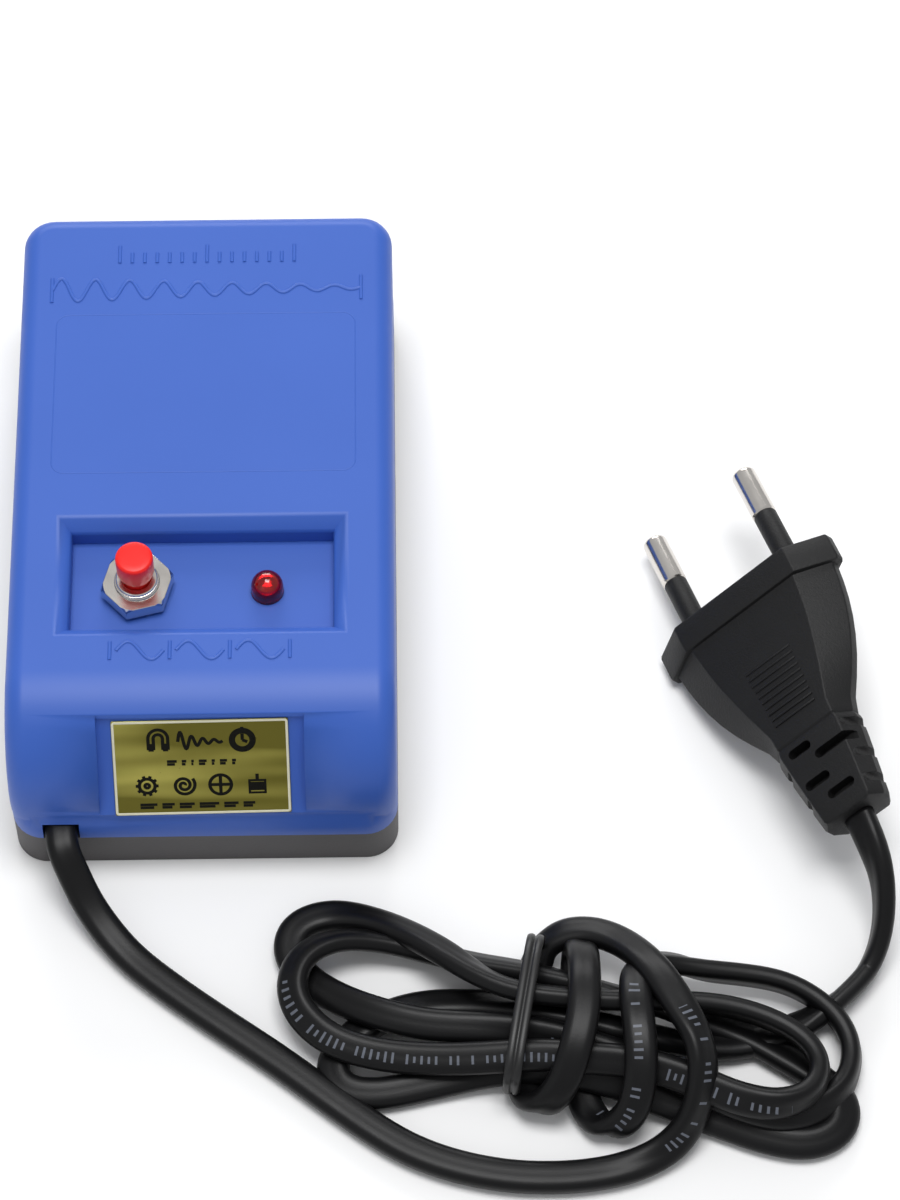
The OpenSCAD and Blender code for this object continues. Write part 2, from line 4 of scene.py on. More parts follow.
import bmesh
import bpy
from bpy.props import FloatProperty, FloatVectorProperty, IntProperty, PointerProperty
from mathutils import Matrix, Vector


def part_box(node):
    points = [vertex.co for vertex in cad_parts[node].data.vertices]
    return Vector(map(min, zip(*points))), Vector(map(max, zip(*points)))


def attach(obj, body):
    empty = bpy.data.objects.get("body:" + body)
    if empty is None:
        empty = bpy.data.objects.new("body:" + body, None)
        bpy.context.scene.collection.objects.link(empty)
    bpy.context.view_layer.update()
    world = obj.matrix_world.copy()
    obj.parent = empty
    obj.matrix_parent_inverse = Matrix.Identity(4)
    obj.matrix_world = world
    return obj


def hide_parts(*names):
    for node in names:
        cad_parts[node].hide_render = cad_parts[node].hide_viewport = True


bl_info = {
    "name": "Bench demagnetizer",
    "version": (1, 0, 0),
    "blender": (4, 5, 0),
    "location": "View3D > Sidebar > Demagnetizer",
    "description": "Builds a watchmaker's demagnetizer on its packed frame",
    "category": "Object",
}

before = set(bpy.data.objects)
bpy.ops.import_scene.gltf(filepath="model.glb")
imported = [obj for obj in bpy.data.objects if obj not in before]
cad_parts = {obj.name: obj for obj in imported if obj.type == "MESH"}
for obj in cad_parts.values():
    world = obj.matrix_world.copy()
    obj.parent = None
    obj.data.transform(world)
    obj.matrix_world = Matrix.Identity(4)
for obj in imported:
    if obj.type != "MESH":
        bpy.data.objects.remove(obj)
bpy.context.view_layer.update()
MM = 0.001

# ---- settings


def size_property(name, description, default, low, high):
    return FloatProperty(name=name, description=description, default=default, min=low, max=high,
                         subtype="DISTANCE", unit="LENGTH", precision=5)


def colour_property(name, description, default):
    return FloatVectorProperty(name=name, description=description, default=default, subtype="COLOR",
                               size=3, min=0.0, max=1.0)


def count_property(name, description, default, low, high):
    return IntProperty(name=name, description=description, default=default, min=low, max=high)


def power_property(name, description, default):
    return FloatProperty(name=name, description=description, default=default, min=0, max=100, unit="POWER")


class DemagCaseSettings(bpy.types.PropertyGroup):
    """Colours and edges of the two case mouldings"""

    cover_colour: colour_property("Cover", "Colour of the upper moulding", (0.038, 0.112, 0.470))
    base_colour: colour_property("Base", "Colour of the lower moulding", (0.062, 0.058, 0.060))
    edge_round: size_property("Edge round", "Rounding of the moulded edges", 0.00045, 0.0001, 0.001)
    stroke_width: size_property("Stroke", "Width of the raised strokes on the deck", 0.0007, 0.0002, 0.001)
    stroke_height: size_property("Stroke height", "How far the strokes stand up", 0.0002, 0.00005, 0.0005)


class DemagControlSettings(bpy.types.PropertyGroup):
    """Push button, its fixings and the lamp"""

    cap_colour: colour_property("Cap", "Colour of the push cap", (0.86, 0.013, 0.010))
    lens_colour: colour_property("Lens", "Colour of the lamp", (0.55, 0.006, 0.008))
    nickel_colour: colour_property("Nickel", "Colour of the plated fixings", (0.80, 0.76, 0.71))
    thread_pitch: size_property("Thread pitch", "Rise of the thread in one turn", 0.0005, 0.0003, 0.001)
    teeth: count_property("Washer teeth", "Teeth round the lock washer", 16, 6, 30)


class DemagLabelSettings(bpy.types.PropertyGroup):
    """The foil label"""

    foil_colour: colour_property("Foil", "Colour of the metal foil", (0.62, 0.56, 0.13))
    # Painted shade: the foil's darker band colour stands in for reflections off its faint waves.
    painted_band_shade: colour_property("Shade", "Colour of the foil's darker bands", (0.17, 0.15, 0.022))
    ink_colour: colour_property("Ink", "Colour of the print", (0.006, 0.006, 0.004))
    ink_width: size_property("Ink stroke", "Width of the printed strokes", 0.00042, 0.0001, 0.001)


class DemagLeadSettings(bpy.types.PropertyGroup):
    """The flat lead and its tie"""

    width: size_property("Width", "Width of the flat lead", 0.005, 0.004, 0.006)
    thickness: size_property("Thickness", "Thickness of the flat lead", 0.0031, 0.0025, 0.0035)
    colour: colour_property("Lead", "Colour of the lead's sheath", (0.0055, 0.0055, 0.0060))
    print_colour: colour_property("Marks", "Colour of the marks printed along the lead", (0.11, 0.12, 0.145))


class DemagPlugSettings(bpy.types.PropertyGroup):
    """The moulded plug"""

    colour: colour_property("Plug", "Colour of the plug's moulding", (0.0070, 0.0070, 0.0074))
    grip_ribs: count_property("Grip ribs", "Fine ribs on the plug's faces", 10, 3, 20)
    rib_pitch: size_property("Rib pitch", "Distance between the grip ribs", 0.00115, 0.0005, 0.002)


class DemagStageSettings(bpy.types.PropertyGroup):
    """Floor, lights and camera"""

    focal: FloatProperty(name="Lens", description="Focal length in millimetres", default=123.4,
                         min=20, max=300)
    key_power: power_property("Key", "Power of the softbox overhead", 7.6)
    fill_power: power_property("Fill", "Power of the softbox at the front", 0.35)
    back_power: power_property("Back", "Power of the softbox behind", 4.5)
    sky: FloatProperty(name="Room light", description="Strength of the room's even light", default=0.48,
                       min=0, max=5)


# ---- meshes


def in_mm(points):
    """Points given in millimetres, turned into metres."""
    return [tuple(c * MM for c in point) for point in points]


def link_object(name, data):
    obj = bpy.data.objects.new(name, data)
    bpy.context.scene.collection.objects.link(obj)
    return obj


def add_object(name, verts, faces, smooth=True, edges=()):
    mesh = bpy.data.meshes.new(name)
    mesh.from_pydata([tuple(v) for v in verts], edges, faces)
    mesh.update()
    mesh.polygons.foreach_set("use_smooth", [smooth] * len(mesh.polygons))
    return link_object(name, mesh)


def edit_mesh(obj, work):
    """Runs work(bm) on the object's mesh."""
    bm = bmesh.new()
    bm.from_mesh(obj.data)
    work(bm)
    bm.to_mesh(obj.data)
    bm.free()
    obj.data.update()


def face_outwards(obj):
    edit_mesh(obj, lambda bm: bmesh.ops.recalc_face_normals(bm, faces=bm.faces))


def sharpen(obj, degrees=32):
    obj.data.polygons.foreach_set("use_smooth", [True] * len(obj.data.polygons))
    obj.data.set_sharp_from_angle(angle=math.radians(degrees))


def even_shading(obj):
    """Keeps the flat faces flat between rounded edges."""
    weighted = obj.modifiers.new("Even shading", "WEIGHTED_NORMAL")
    weighted.keep_sharp = True
    weighted.weight = 80


def finish_piece(obj, material, body="root"):
    obj.data.materials.clear()
    obj.data.materials.append(material)
    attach(obj, body)


def merged_copy(node, name):
    """A copy of a CAD node that replaces it, with its triangles joined and its flat faces whole."""
    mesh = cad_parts[node].data.copy()
    mesh.name = name
    obj = link_object(name, mesh)

    def work(bm):
        bmesh.ops.remove_doubles(bm, verts=bm.verts, dist=0.002 * MM)
        bmesh.ops.dissolve_limit(bm, angle_limit=math.radians(0.4), verts=bm.verts, edges=bm.edges)

    edit_mesh(obj, work)
    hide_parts(node)
    return obj


def round_edges(obj, width, chosen, segments=3, clamp=True):
    """Rounds the sharp edges that chosen(middle, edge) picks."""

    def work(bm):
        edges = []
        for edge in bm.edges:
            if len(edge.link_faces) == 2 and edge.calc_face_angle(0) > math.radians(24):
                middle = (edge.verts[0].co + edge.verts[1].co) / 2
                if chosen(middle, edge):
                    edges.append(edge)
        bmesh.ops.bevel(bm, geom=edges, offset=width, offset_type="OFFSET", segments=segments,
                        profile=0.5, affect="EDGES", clamp_overlap=clamp)

    edit_mesh(obj, work)


def spin_profile(name, profile, steps, centre, closed=False):
    """Turns (radius, height) points about a vertical axis through centre. An end on the axis is a pole."""
    verts, rings = [], []
    for radius, height in profile:
        if radius < 1e-9:
            rings.append([len(verts)])
            verts.append((centre[0], centre[1], centre[2] + height))
            continue
        rings.append(list(range(len(verts), len(verts) + steps)))
        for k in range(steps):
            angle = 2 * math.pi * k / steps
            verts.append((centre[0] + radius * math.cos(angle), centre[1] + radius * math.sin(angle),
                          centre[2] + height))
    faces = []
    pairs = list(zip(rings, rings[1:]))
    if closed:
        pairs.append((rings[-1], rings[0]))
    for low, high in pairs:
        for k in range(steps):
            n = (k + 1) % steps
            if len(low) == 1:
                faces.append((low[0], high[n], high[k]))
            elif len(high) == 1:
                faces.append((low[k], low[n], high[0]))
            else:
                faces.append((low[k], low[n], high[n], high[k]))
    obj = add_object(name, verts, faces)
    face_outwards(obj)
    return obj


def arc(centre, radius, start, end, steps):
    """Points on an arc, angles in degrees."""
    turns = [math.radians(start + (end - start) * i / steps) for i in range(steps + 1)]
    return [(centre[0] + radius * math.cos(a), centre[1] + radius * math.sin(a)) for a in turns]


def fillet(corners, radius, steps=4):
    """A closed outline with every corner rounded."""
    outline = []
    count = len(corners)
    for i, corner in enumerate(corners):
        here = Vector(corner)
        before = (Vector(corners[i - 1]) - here).normalized()
        after = (Vector(corners[(i + 1) % count]) - here).normalized()
        half = before.angle(after) / 2
        reach = radius / math.tan(half)
        middle = here + (before + after).normalized() * (radius / math.sin(half))
        first = here + before * reach - middle
        last = here + after * reach - middle
        for k in range(steps + 1):
            step = first.lerp(last, k / steps)
            outline.append(tuple(middle + step.normalized() * radius))
    return outline


def rounded_box(half_x, half_y, radius, steps=4):
    corners = [(-half_x, -half_y), (half_x, -half_y), (half_x, half_y), (-half_x, half_y)]
    return fillet(corners, radius, steps)


def rounded_square(steps, power, shift=0.0):
    """Points round a soft square that reaches 1 each way. A higher power is squarer."""
    points = []
    for k in range(steps):
        angle = 2 * math.pi * (k + shift) / steps
        c, s = math.cos(angle), math.sin(angle)
        reach = (abs(c) ** power + abs(s) ** power) ** (-1 / power)
        points.append((c * reach, s * reach))
    return points


def band(low, high, count):
    """Quads between two rings of count points, whose first points are low and high."""
    return [(low + k, low + (k + 1) % count, high + (k + 1) % count, high + k) for k in range(count)]


def loft(name, stations):
    """Joins outlines, each a list of points of the same count, and closes both ends."""
    count = len(stations[0])
    verts = [p for station in stations for p in station]
    faces = []
    for i in range(len(stations) - 1):
        faces += band(i * count, (i + 1) * count, count)
    faces.append(tuple(range(count)))
    faces.append(tuple(range(len(verts) - count, len(verts))))
    obj = add_object(name, verts, faces)
    face_outwards(obj)
    return obj


def sweep(name, path, across, section, closed=False):
    """Carries a closed section along a path. across gives the section's first axis at each point."""
    count = len(section)
    verts, travelled, total = [], [], 0.0
    for i, point in enumerate(path):
        ahead = path[(i + 1) % len(path)] if closed or i + 1 < len(path) else point
        behind = path[i - 1] if closed or i > 0 else point
        heading = (ahead - behind).normalized()
        side = (across[i] - heading * across[i].dot(heading)).normalized()
        up = side.cross(heading)
        verts += [point + side * a + up * b for a, b in section]
        if i:
            total += (point - path[i - 1]).length
        travelled.append(total)
    rings = len(path)
    faces = []
    for i in range(rings if closed else rings - 1):
        faces += band(i * count, (i + 1) % rings * count, count)
    if not closed:
        faces.append(tuple(range(count)))
        faces.append(tuple(range((rings - 1) * count, rings * count)))
    obj = add_object(name, verts, faces)
    layer = obj.data.uv_layers.new(name="Along")
    for face in obj.data.polygons:
        sides = [v % count for v in face.vertices]
        wraps = max(sides) - min(sides) > count / 2
        for loop, vertex, k in zip(face.loop_indices, face.vertices, sides):
            if wraps and k < count / 2:
                k += count
            layer.data[loop].uv = (travelled[vertex // count], k / count)
    face_outwards(obj)
    return obj


def smooth_path(points, steps):
    """A smooth curve through points of any size, as Vectors."""
    points = [Vector(p) for p in points]
    last = len(points) - 1
    curve = []
    for i in range(last):
        a, b, c, d = points[max(i - 1, 0)], points[i], points[i + 1], points[min(i + 2, last)]
        for k in range(steps):
            t = k / steps
            curve.append(0.5 * (2 * b + (c - a) * t + (2 * a - 5 * b + 4 * c - d) * t * t
                                + (3 * b - a - 3 * c + d) * t ** 3))
    return curve + [points[last]]


def cut(obj, cutter):
    """Takes the cutter's volume out of the object."""
    modifier = obj.modifiers.new("Cut", "BOOLEAN")
    modifier.operation = "DIFFERENCE"
    modifier.solver = "EXACT"
    modifier.object = cutter
    modifier.use_self = True
    face_outwards(cutter)
    plain_mesh(obj)
    bpy.data.objects.remove(cutter)


def plain_mesh(obj):
    """Turns the evaluated object into a plain mesh and drops its modifiers."""
    depsgraph = bpy.context.evaluated_depsgraph_get()
    mesh = bpy.data.meshes.new_from_object(obj.evaluated_get(depsgraph), depsgraph=depsgraph)
    obj.modifiers.clear()
    obj.data = mesh
    mesh.name = obj.name


# ---- geometry node trees


def geometry_tree(name, inputs):
    tree = bpy.data.node_groups.new(name, "GeometryNodeTree")
    tree.interface.new_socket("Geometry", in_out="INPUT", socket_type="NodeSocketGeometry")
    for label, kind in inputs:
        tree.interface.new_socket(label, in_out="INPUT", socket_type=kind)
    tree.interface.new_socket("Geometry", in_out="OUTPUT", socket_type="NodeSocketGeometry")
    return tree, tree.nodes.new("NodeGroupInput"), tree.nodes.new("NodeGroupOutput")


def wire(tree, *links):
    """Joins sockets. Each link is (node, its output, node, its input), by name or by number."""
    for source, output, target, socket in links:
        tree.links.new(source.outputs[output], target.inputs[socket])


def close_tree(tree, last, output, inputs, outputs):
    """Realizes the instances, sets the material and joins the tree's end."""
    realize = tree.nodes.new("GeometryNodeRealizeInstances")
    paint = tree.nodes.new("GeometryNodeSetMaterial")
    wire(tree,
         (last, output, realize, "Geometry"),
         (realize, "Geometry", paint, "Geometry"),
         (inputs, "Material", paint, "Material"),
         (paint, "Geometry", outputs, "Geometry"))


def bead_tree():
    """A round bead along every line of a mesh of edges."""
    tree, inputs, outputs = geometry_tree("Bead along lines", [
        ("Radius", "NodeSocketFloat"), ("Sides", "NodeSocketInt"), ("Material", "NodeSocketMaterial")])
    lines = tree.nodes.new("GeometryNodeMeshToCurve")
    circle = tree.nodes.new("GeometryNodeCurvePrimitiveCircle")
    tube = tree.nodes.new("GeometryNodeCurveToMesh")
    tube.inputs["Fill Caps"].default_value = True
    shade = tree.nodes.new("GeometryNodeSetShadeSmooth")
    wire(tree,
         (inputs, "Geometry", lines, "Mesh"),
         (inputs, "Sides", circle, "Resolution"),
         (inputs, "Radius", circle, "Radius"),
         (lines, "Curve", tube, "Curve"),
         (circle, "Curve", tube, "Profile Curve"),
         (tube, "Mesh", shade, "Geometry"))
    close_tree(tree, shade, "Geometry", inputs, outputs)
    return tree


def ring_tree():
    """Copies of the mesh in a ring about the vertical axis through its origin, turned to face outwards."""
    tree, inputs, outputs = geometry_tree("Ring of copies", [
        ("Count", "NodeSocketInt"), ("Material", "NodeSocketMaterial")])
    points = tree.nodes.new("GeometryNodePoints")
    index = tree.nodes.new("GeometryNodeInputIndex")
    step = tree.nodes.new("ShaderNodeMath")
    step.operation = "DIVIDE"
    step.inputs[0].default_value = 2 * math.pi
    turn = tree.nodes.new("ShaderNodeMath")
    turn.operation = "MULTIPLY"
    spin = tree.nodes.new("ShaderNodeCombineXYZ")
    place = tree.nodes.new("GeometryNodeInstanceOnPoints")
    wire(tree,
         (inputs, "Count", points, "Count"),
         (inputs, "Count", step, 1),
         (index, "Index", turn, 0),
         (step, "Value", turn, 1),
         (turn, "Value", spin, "Z"),
         (points, 0, place, "Points"),
         (inputs, "Geometry", place, "Instance"),
         (spin, "Vector", place, "Rotation"))
    close_tree(tree, place, "Instances", inputs, outputs)
    return tree


def row_tree():
    """Copies of the mesh in a straight row, each narrower than the last by Taper."""
    tree, inputs, outputs = geometry_tree("Row of copies", [
        ("Count", "NodeSocketInt"), ("Step", "NodeSocketVector"), ("Taper", "NodeSocketFloat"),
        ("Material", "NodeSocketMaterial")])
    line = tree.nodes.new("GeometryNodeMeshLine")
    index = tree.nodes.new("GeometryNodeInputIndex")
    shrink = tree.nodes.new("ShaderNodeMath")
    shrink.operation = "MULTIPLY_ADD"
    shrink.inputs[2].default_value = 1.0
    scale = tree.nodes.new("ShaderNodeCombineXYZ")
    scale.inputs["Y"].default_value = 1.0
    scale.inputs["Z"].default_value = 1.0
    place = tree.nodes.new("GeometryNodeInstanceOnPoints")
    wire(tree,
         (inputs, "Count", line, "Count"),
         (inputs, "Step", line, "Offset"),
         (index, "Index", shrink, 0),
         (inputs, "Taper", shrink, 1),
         (shrink, "Value", scale, "X"),
         (line, "Mesh", place, "Points"),
         (inputs, "Geometry", place, "Instance"),
         (scale, "Vector", place, "Scale"))
    close_tree(tree, place, "Instances", inputs, outputs)
    return tree


TREE_MAKERS = {"Bead along lines": bead_tree, "Ring of copies": ring_tree, "Row of copies": row_tree}


def grow(obj, tree_name, **values):
    """Runs a tree on the object and keeps the result as its plain mesh."""
    tree = bpy.data.node_groups.get(tree_name) or TREE_MAKERS[tree_name]()
    modifier = obj.modifiers.new(tree_name, "NODES")
    modifier.node_group = tree
    for item in tree.interface.items_tree:
        if item.in_out == "INPUT" and item.name in values:
            modifier[item.identifier] = values[item.name]
    plain_mesh(obj)


def bead_lines(name, lines, radius, sides, material):
    """Beads along open or closed lines: each line is (points, closed)."""
    verts, edges = [], []
    for points, closed in lines:
        start = len(verts)
        verts += [tuple(p) for p in points]
        edges += [(start + i, start + i + 1) for i in range(len(points) - 1)]
        if closed:
            edges.append((len(verts) - 1, start))
    obj = add_object(name, verts, [], edges=edges)
    grow(obj, "Bead along lines", Radius=radius, Sides=sides, Material=material)
    return obj


# ---- shader groups and materials


def shader_group(name, inputs, outputs):
    group = bpy.data.node_groups.new(name, "ShaderNodeTree")
    for label, kind, value in inputs:
        socket = group.interface.new_socket(label, in_out="INPUT", socket_type=kind)
        socket.default_value = value
    for label, kind in outputs:
        group.interface.new_socket(label, in_out="OUTPUT", socket_type=kind)
    return group, group.nodes.new("NodeGroupInput"), group.nodes.new("NodeGroupOutput")


def surface_group():
    """Slow shifts of tone and gloss with a fine grain, as any moulded or plated surface has."""
    name = "Surface tone and grain"
    if name in bpy.data.node_groups:
        return bpy.data.node_groups[name]
    group, inputs, outputs = shader_group(name, [
        ("Vector", "NodeSocketVector", (0, 0, 0)),
        ("Colour", "NodeSocketColor", (0.5, 0.5, 0.5, 1)),
        ("Shade", "NodeSocketColor", (0.4, 0.4, 0.4, 1)),
        ("Patch Scale", "NodeSocketFloat", 80.0),
        ("Roughness", "NodeSocketFloat", 0.4),
        ("Roughness Spread", "NodeSocketFloat", 0.1),
        ("Grain Scale", "NodeSocketFloat", 4000.0),
        ("Speck", "NodeSocketFloat", 0.1),
    ], [("Colour", "NodeSocketColor"), ("Roughness", "NodeSocketFloat"), ("Height", "NodeSocketFloat")])
    nodes = group.nodes
    patches = nodes.new("ShaderNodeTexNoise")
    patches.inputs["Detail"].default_value = 3.0
    grain = nodes.new("ShaderNodeTexNoise")
    grain.inputs["Detail"].default_value = 4.0
    grain.inputs["Roughness"].default_value = 0.65
    spots = nodes.new("ShaderNodeMath")
    spots.operation = "MULTIPLY"
    centre = nodes.new("ShaderNodeMath")
    centre.operation = "SUBTRACT"
    centre.inputs[1].default_value = 0.5
    blend = nodes.new("ShaderNodeMath")
    blend.operation = "ADD"
    blend.use_clamp = True
    mix = nodes.new("ShaderNodeMix")
    mix.data_type = "RGBA"
    gloss = nodes.new("ShaderNodeMath")
    gloss.operation = "MULTIPLY_ADD"
    wire(group,
         (inputs, "Vector", patches, "Vector"),
         (inputs, "Patch Scale", patches, "Scale"),
         (inputs, "Vector", grain, "Vector"),
         (inputs, "Grain Scale", grain, "Scale"),
         (grain, "Fac", centre, 0),
         (centre, 0, spots, 0),
         (inputs, "Speck", spots, 1),
         (patches, "Fac", blend, 0),
         (spots, 0, blend, 1),
         (blend, 0, mix, "Factor"),
         (inputs, "Shade", mix, "A"),
         (inputs, "Colour", mix, "B"),
         (mix, "Result", outputs, "Colour"),
         (patches, "Fac", gloss, 0),
         (inputs, "Roughness Spread", gloss, 1),
         (inputs, "Roughness", gloss, 2),
         (gloss, 0, outputs, "Roughness"),
         (grain, "Fac", outputs, "Height"))
    return group


def shaded(colour, factor):
    return tuple(min(1.0, c * factor) for c in colour)


def surface_material(name, colour, shade=0.8, patch=300, roughness=0.4, spread=0.1, grain=4000, speck=0.2,
                     bump=0.00001, metallic=0.0, specular=0.5):
    """A Principled material whose tone, gloss and grain come from the shared group. Lengths in metres."""
    material = bpy.data.materials.get(name)
    if material:
        return material
    material = bpy.data.materials.new(name)
    material.use_nodes = True
    nodes = material.node_tree.nodes
    shader = nodes["Principled BSDF"]
    shader.inputs["Metallic"].default_value = metallic
    shader.inputs["Specular IOR Level"].default_value = specular
    place = nodes.new("ShaderNodeTexCoord")
    detail = nodes.new("ShaderNodeGroup")
    detail.name = "Detail"
    detail.node_tree = surface_group()
    relief = nodes.new("ShaderNodeBump")
    relief.name = "Relief"
    relief.inputs["Distance"].default_value = bump
    relief.inputs["Strength"].default_value = 1.0
    values = {"Colour": (*colour, 1), "Shade": (*shaded(colour, shade), 1), "Patch Scale": patch,
              "Roughness": roughness - spread / 2, "Roughness Spread": spread, "Grain Scale": grain,
              "Speck": speck}
    for label, value in values.items():
        detail.inputs[label].default_value = value
    wire(material.node_tree,
         (place, "Object", detail, "Vector"),
         (detail, "Colour", shader, "Base Color"),
         (detail, "Roughness", shader, "Roughness"),
         (detail, "Height", relief, "Height"),
         (relief, "Normal", shader, "Normal"))
    return material


def mix_base_colour(material, factor, under, over):
    """Mixes two colours by factor into the base colour. Each is a colour, or the output that gives it."""
    nodes, links = material.node_tree.nodes, material.node_tree.links
    mix = nodes.new("ShaderNodeMix")
    mix.data_type = "RGBA"
    links.new(factor, mix.inputs["Factor"])
    for label, value in (("A", under), ("B", over)):
        if isinstance(value, bpy.types.NodeSocket):
            links.new(value, mix.inputs[label])
        else:
            mix.inputs[label].default_value = (*value, 1)
    links.new(mix.outputs["Result"], nodes["Principled BSDF"].inputs["Base Color"])


def cover_material():
    case = bpy.context.scene.demag_case
    return surface_material("Blue moulded cover", case.cover_colour, shade=0.93, patch=45, roughness=0.42,
                            spread=0.06, grain=2600, speck=0.12, bump=0.000006, specular=0.35)


def base_material():
    case = bpy.context.scene.demag_case
    return surface_material("Dark base moulding", case.base_colour, patch=60, roughness=0.55, grain=2400,
                            speck=0.9, bump=0.00003)


def nickel_material():
    controls = bpy.context.scene.demag_controls
    return surface_material("Nickel plate", controls.nickel_colour, shade=0.86, roughness=0.2, spread=0.14,
                            grain=5000, bump=0.000004, metallic=1.0)


def cap_material():
    controls = bpy.context.scene.demag_controls
    material = surface_material("Red push cap", controls.cap_colour, shade=0.88, roughness=0.34, spread=0.08,
                                grain=5000, speck=0.1, bump=0.000006, specular=0.35)
    shader = material.node_tree.nodes["Principled BSDF"]
    shader.inputs["Subsurface Weight"].default_value = 0.12
    shader.inputs["Subsurface Radius"].default_value = (0.001, 0.0003, 0.0002)
    shader.inputs["Subsurface Scale"].default_value = 1.0
    return material


def lens_material():
    controls = bpy.context.scene.demag_controls
    material = surface_material("Red lamp lens", controls.lens_colour, shade=0.85, patch=400, roughness=0.06,
                                spread=0.03, grain=5000, speck=0.05, bump=0.000002)
    shader = material.node_tree.nodes["Principled BSDF"]
    shader.inputs["Transmission Weight"].default_value = 0.85
    shader.inputs["IOR"].default_value = 1.52
    return material


def foil_material():
    """Gold foil with painted reflection bands: a darker colour, mixed into its base colour along stretched
    noise, stands in for the light and dark that its faint waves give.
    """
    label = bpy.context.scene.demag_label
    material = surface_material("Gold foil", label.foil_colour, shade=0.9, patch=600, roughness=0.3,
                                grain=7000, speck=0.35, bump=0.000003, metallic=0.75)
    nodes = material.node_tree.nodes
    if "Painted reflection bands" in nodes:
        return material
    # Painted reflection: stretched noise mixes the darker shade colour into the foil's base colour in bands.
    stretch = nodes.new("ShaderNodeMapping")
    stretch.inputs["Scale"].default_value = (18, 130, 130)
    bands = nodes.new("ShaderNodeTexNoise")
    bands.name = "Painted reflection bands"
    bands.inputs["Scale"].default_value = 1.0
    bands.inputs["Detail"].default_value = 2.0
    ramp = nodes.new("ShaderNodeValToRGB")
    ramp.color_ramp.elements[0].position = 0.40
    ramp.color_ramp.elements[1].position = 0.60
    wire(material.node_tree,
         (nodes["Texture Coordinate"], "Object", stretch, "Vector"),
         (stretch, "Vector", bands, "Vector"),
         (bands, "Fac", ramp, "Fac"))
    mix_base_colour(material, ramp.outputs["Color"], nodes["Detail"].outputs["Colour"], label.painted_band_shade)
    return material


def ink_material():
    label = bpy.context.scene.demag_label
    return surface_material("Label ink", label.ink_colour, shade=0.7, patch=900, roughness=0.6, grain=6000,
                            speck=0.4, bump=0.000002, specular=0.1)


def border_material():
    return surface_material("Pale label edge", (0.72, 0.70, 0.52), shade=0.85, patch=500, grain=6000,
                            bump=0.000002)


MARK_PITCH = 0.0011
# Where marks are printed, in metres along the lead
PRINTED_STRETCHES = ((0.126, 0.150), (0.272, 0.299), (0.386, 0.398), (0.544, 0.566), (0.580, 0.629))


def lead_material():
    """Black sheath with a faint ripple and rows of plain marks along both flat sides."""
    lead = bpy.context.scene.demag_lead
    material = surface_material("Black lead sheath", lead.colour, shade=0.75, patch=120, roughness=0.38,
                                spread=0.12, grain=2500, speck=0.25, bump=0.000012, specular=0.22)
    nodes, links = material.node_tree.nodes, material.node_tree.links
    if "Marks" in nodes:
        return material

    def maths(operation, *values, name=""):
        node = nodes.new("ShaderNodeMath")
        node.operation = operation
        node.name = name or node.name
        for socket, value in zip(node.inputs, values):
            if isinstance(value, (int, float)):
                socket.default_value = value
            else:
                links.new(value, socket)
        return node.outputs["Value"]

    along = nodes.new("ShaderNodeUVMap")
    along.uv_map = "Along"
    split = nodes.new("ShaderNodeSeparateXYZ")
    links.new(along.outputs["UV"], split.inputs["Vector"])
    u, v = split.outputs["X"], split.outputs["Y"]
    place = maths("DIVIDE", u, MARK_PITCH)
    pick = nodes.new("ShaderNodeTexWhiteNoise")
    pick.noise_dimensions = "1D"
    links.new(maths("FLOOR", place), pick.inputs["W"])
    chosen = maths("GREATER_THAN", pick.outputs["Value"], 0.3)
    inside = maths("COMPARE", maths("FRACT", place), 0.4, 0.17)
    printed = 0.0
    for start, end in PRINTED_STRETCHES:
        printed = maths("ADD", printed, maths("COMPARE", u, (start + end) / 2, (end - start) / 2))
    tall = maths("MULTIPLY_ADD", pick.outputs["Color"], 0.07, 0.045)
    row = maths("COMPARE", maths("FRACT", maths("MULTIPLY", v, 2.0)), 0.5, tall)
    column = maths("MULTIPLY", maths("MULTIPLY", chosen, inside), printed)
    marks = maths("MULTIPLY", column, row, name="Marks")
    mix_base_colour(material, marks, nodes["Detail"].outputs["Colour"], lead.print_colour)
    return material


def plug_material():
    plug = bpy.context.scene.demag_plug
    return surface_material("Black spark-grained moulding", plug.colour, patch=150, roughness=0.5, grain=2600,
                            speck=0.5, bump=0.00007, specular=0.28)


def tie_material():
    plug = bpy.context.scene.demag_plug
    return surface_material("Black tie rubber", plug.colour, shade=0.7, patch=200, roughness=0.42, speck=0.3)


def banded_material(name, colour, dark, axis, pitch, roughness, metallic):
    """Even lines along one axis, as turns of wire or stacked sheets show. axis is X, Y or Z."""
    material = surface_material(name, colour, shade=0.85, patch=200, roughness=roughness, metallic=metallic)
    nodes = material.node_tree.nodes
    if "Lines" in nodes:
        return material
    lines = nodes.new("ShaderNodeTexWave")
    lines.name = "Lines"
    lines.bands_direction = axis
    lines.inputs["Scale"].default_value = math.pi / (10 * pitch)
    lines.inputs["Distortion"].default_value = 0.2
    relief = nodes["Relief"]
    relief.inputs["Distance"].default_value = pitch / 3
    wire(material.node_tree,
         (nodes["Texture Coordinate"], "Object", lines, "Vector"),
         (lines, "Fac", relief, "Height"))
    mix_base_colour(material, lines.outputs["Fac"], dark, nodes["Detail"].outputs["Colour"])
    return material


# ---- case

POCKET_HALF = (22.4 * MM, 10.7 * MM)         # reach of the pocket's lines from its middle
POCKET_RIM = 2.1 * MM                        # reach of its sloped rim below the deck


def deck_height():
    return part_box("top_cover")[1].z


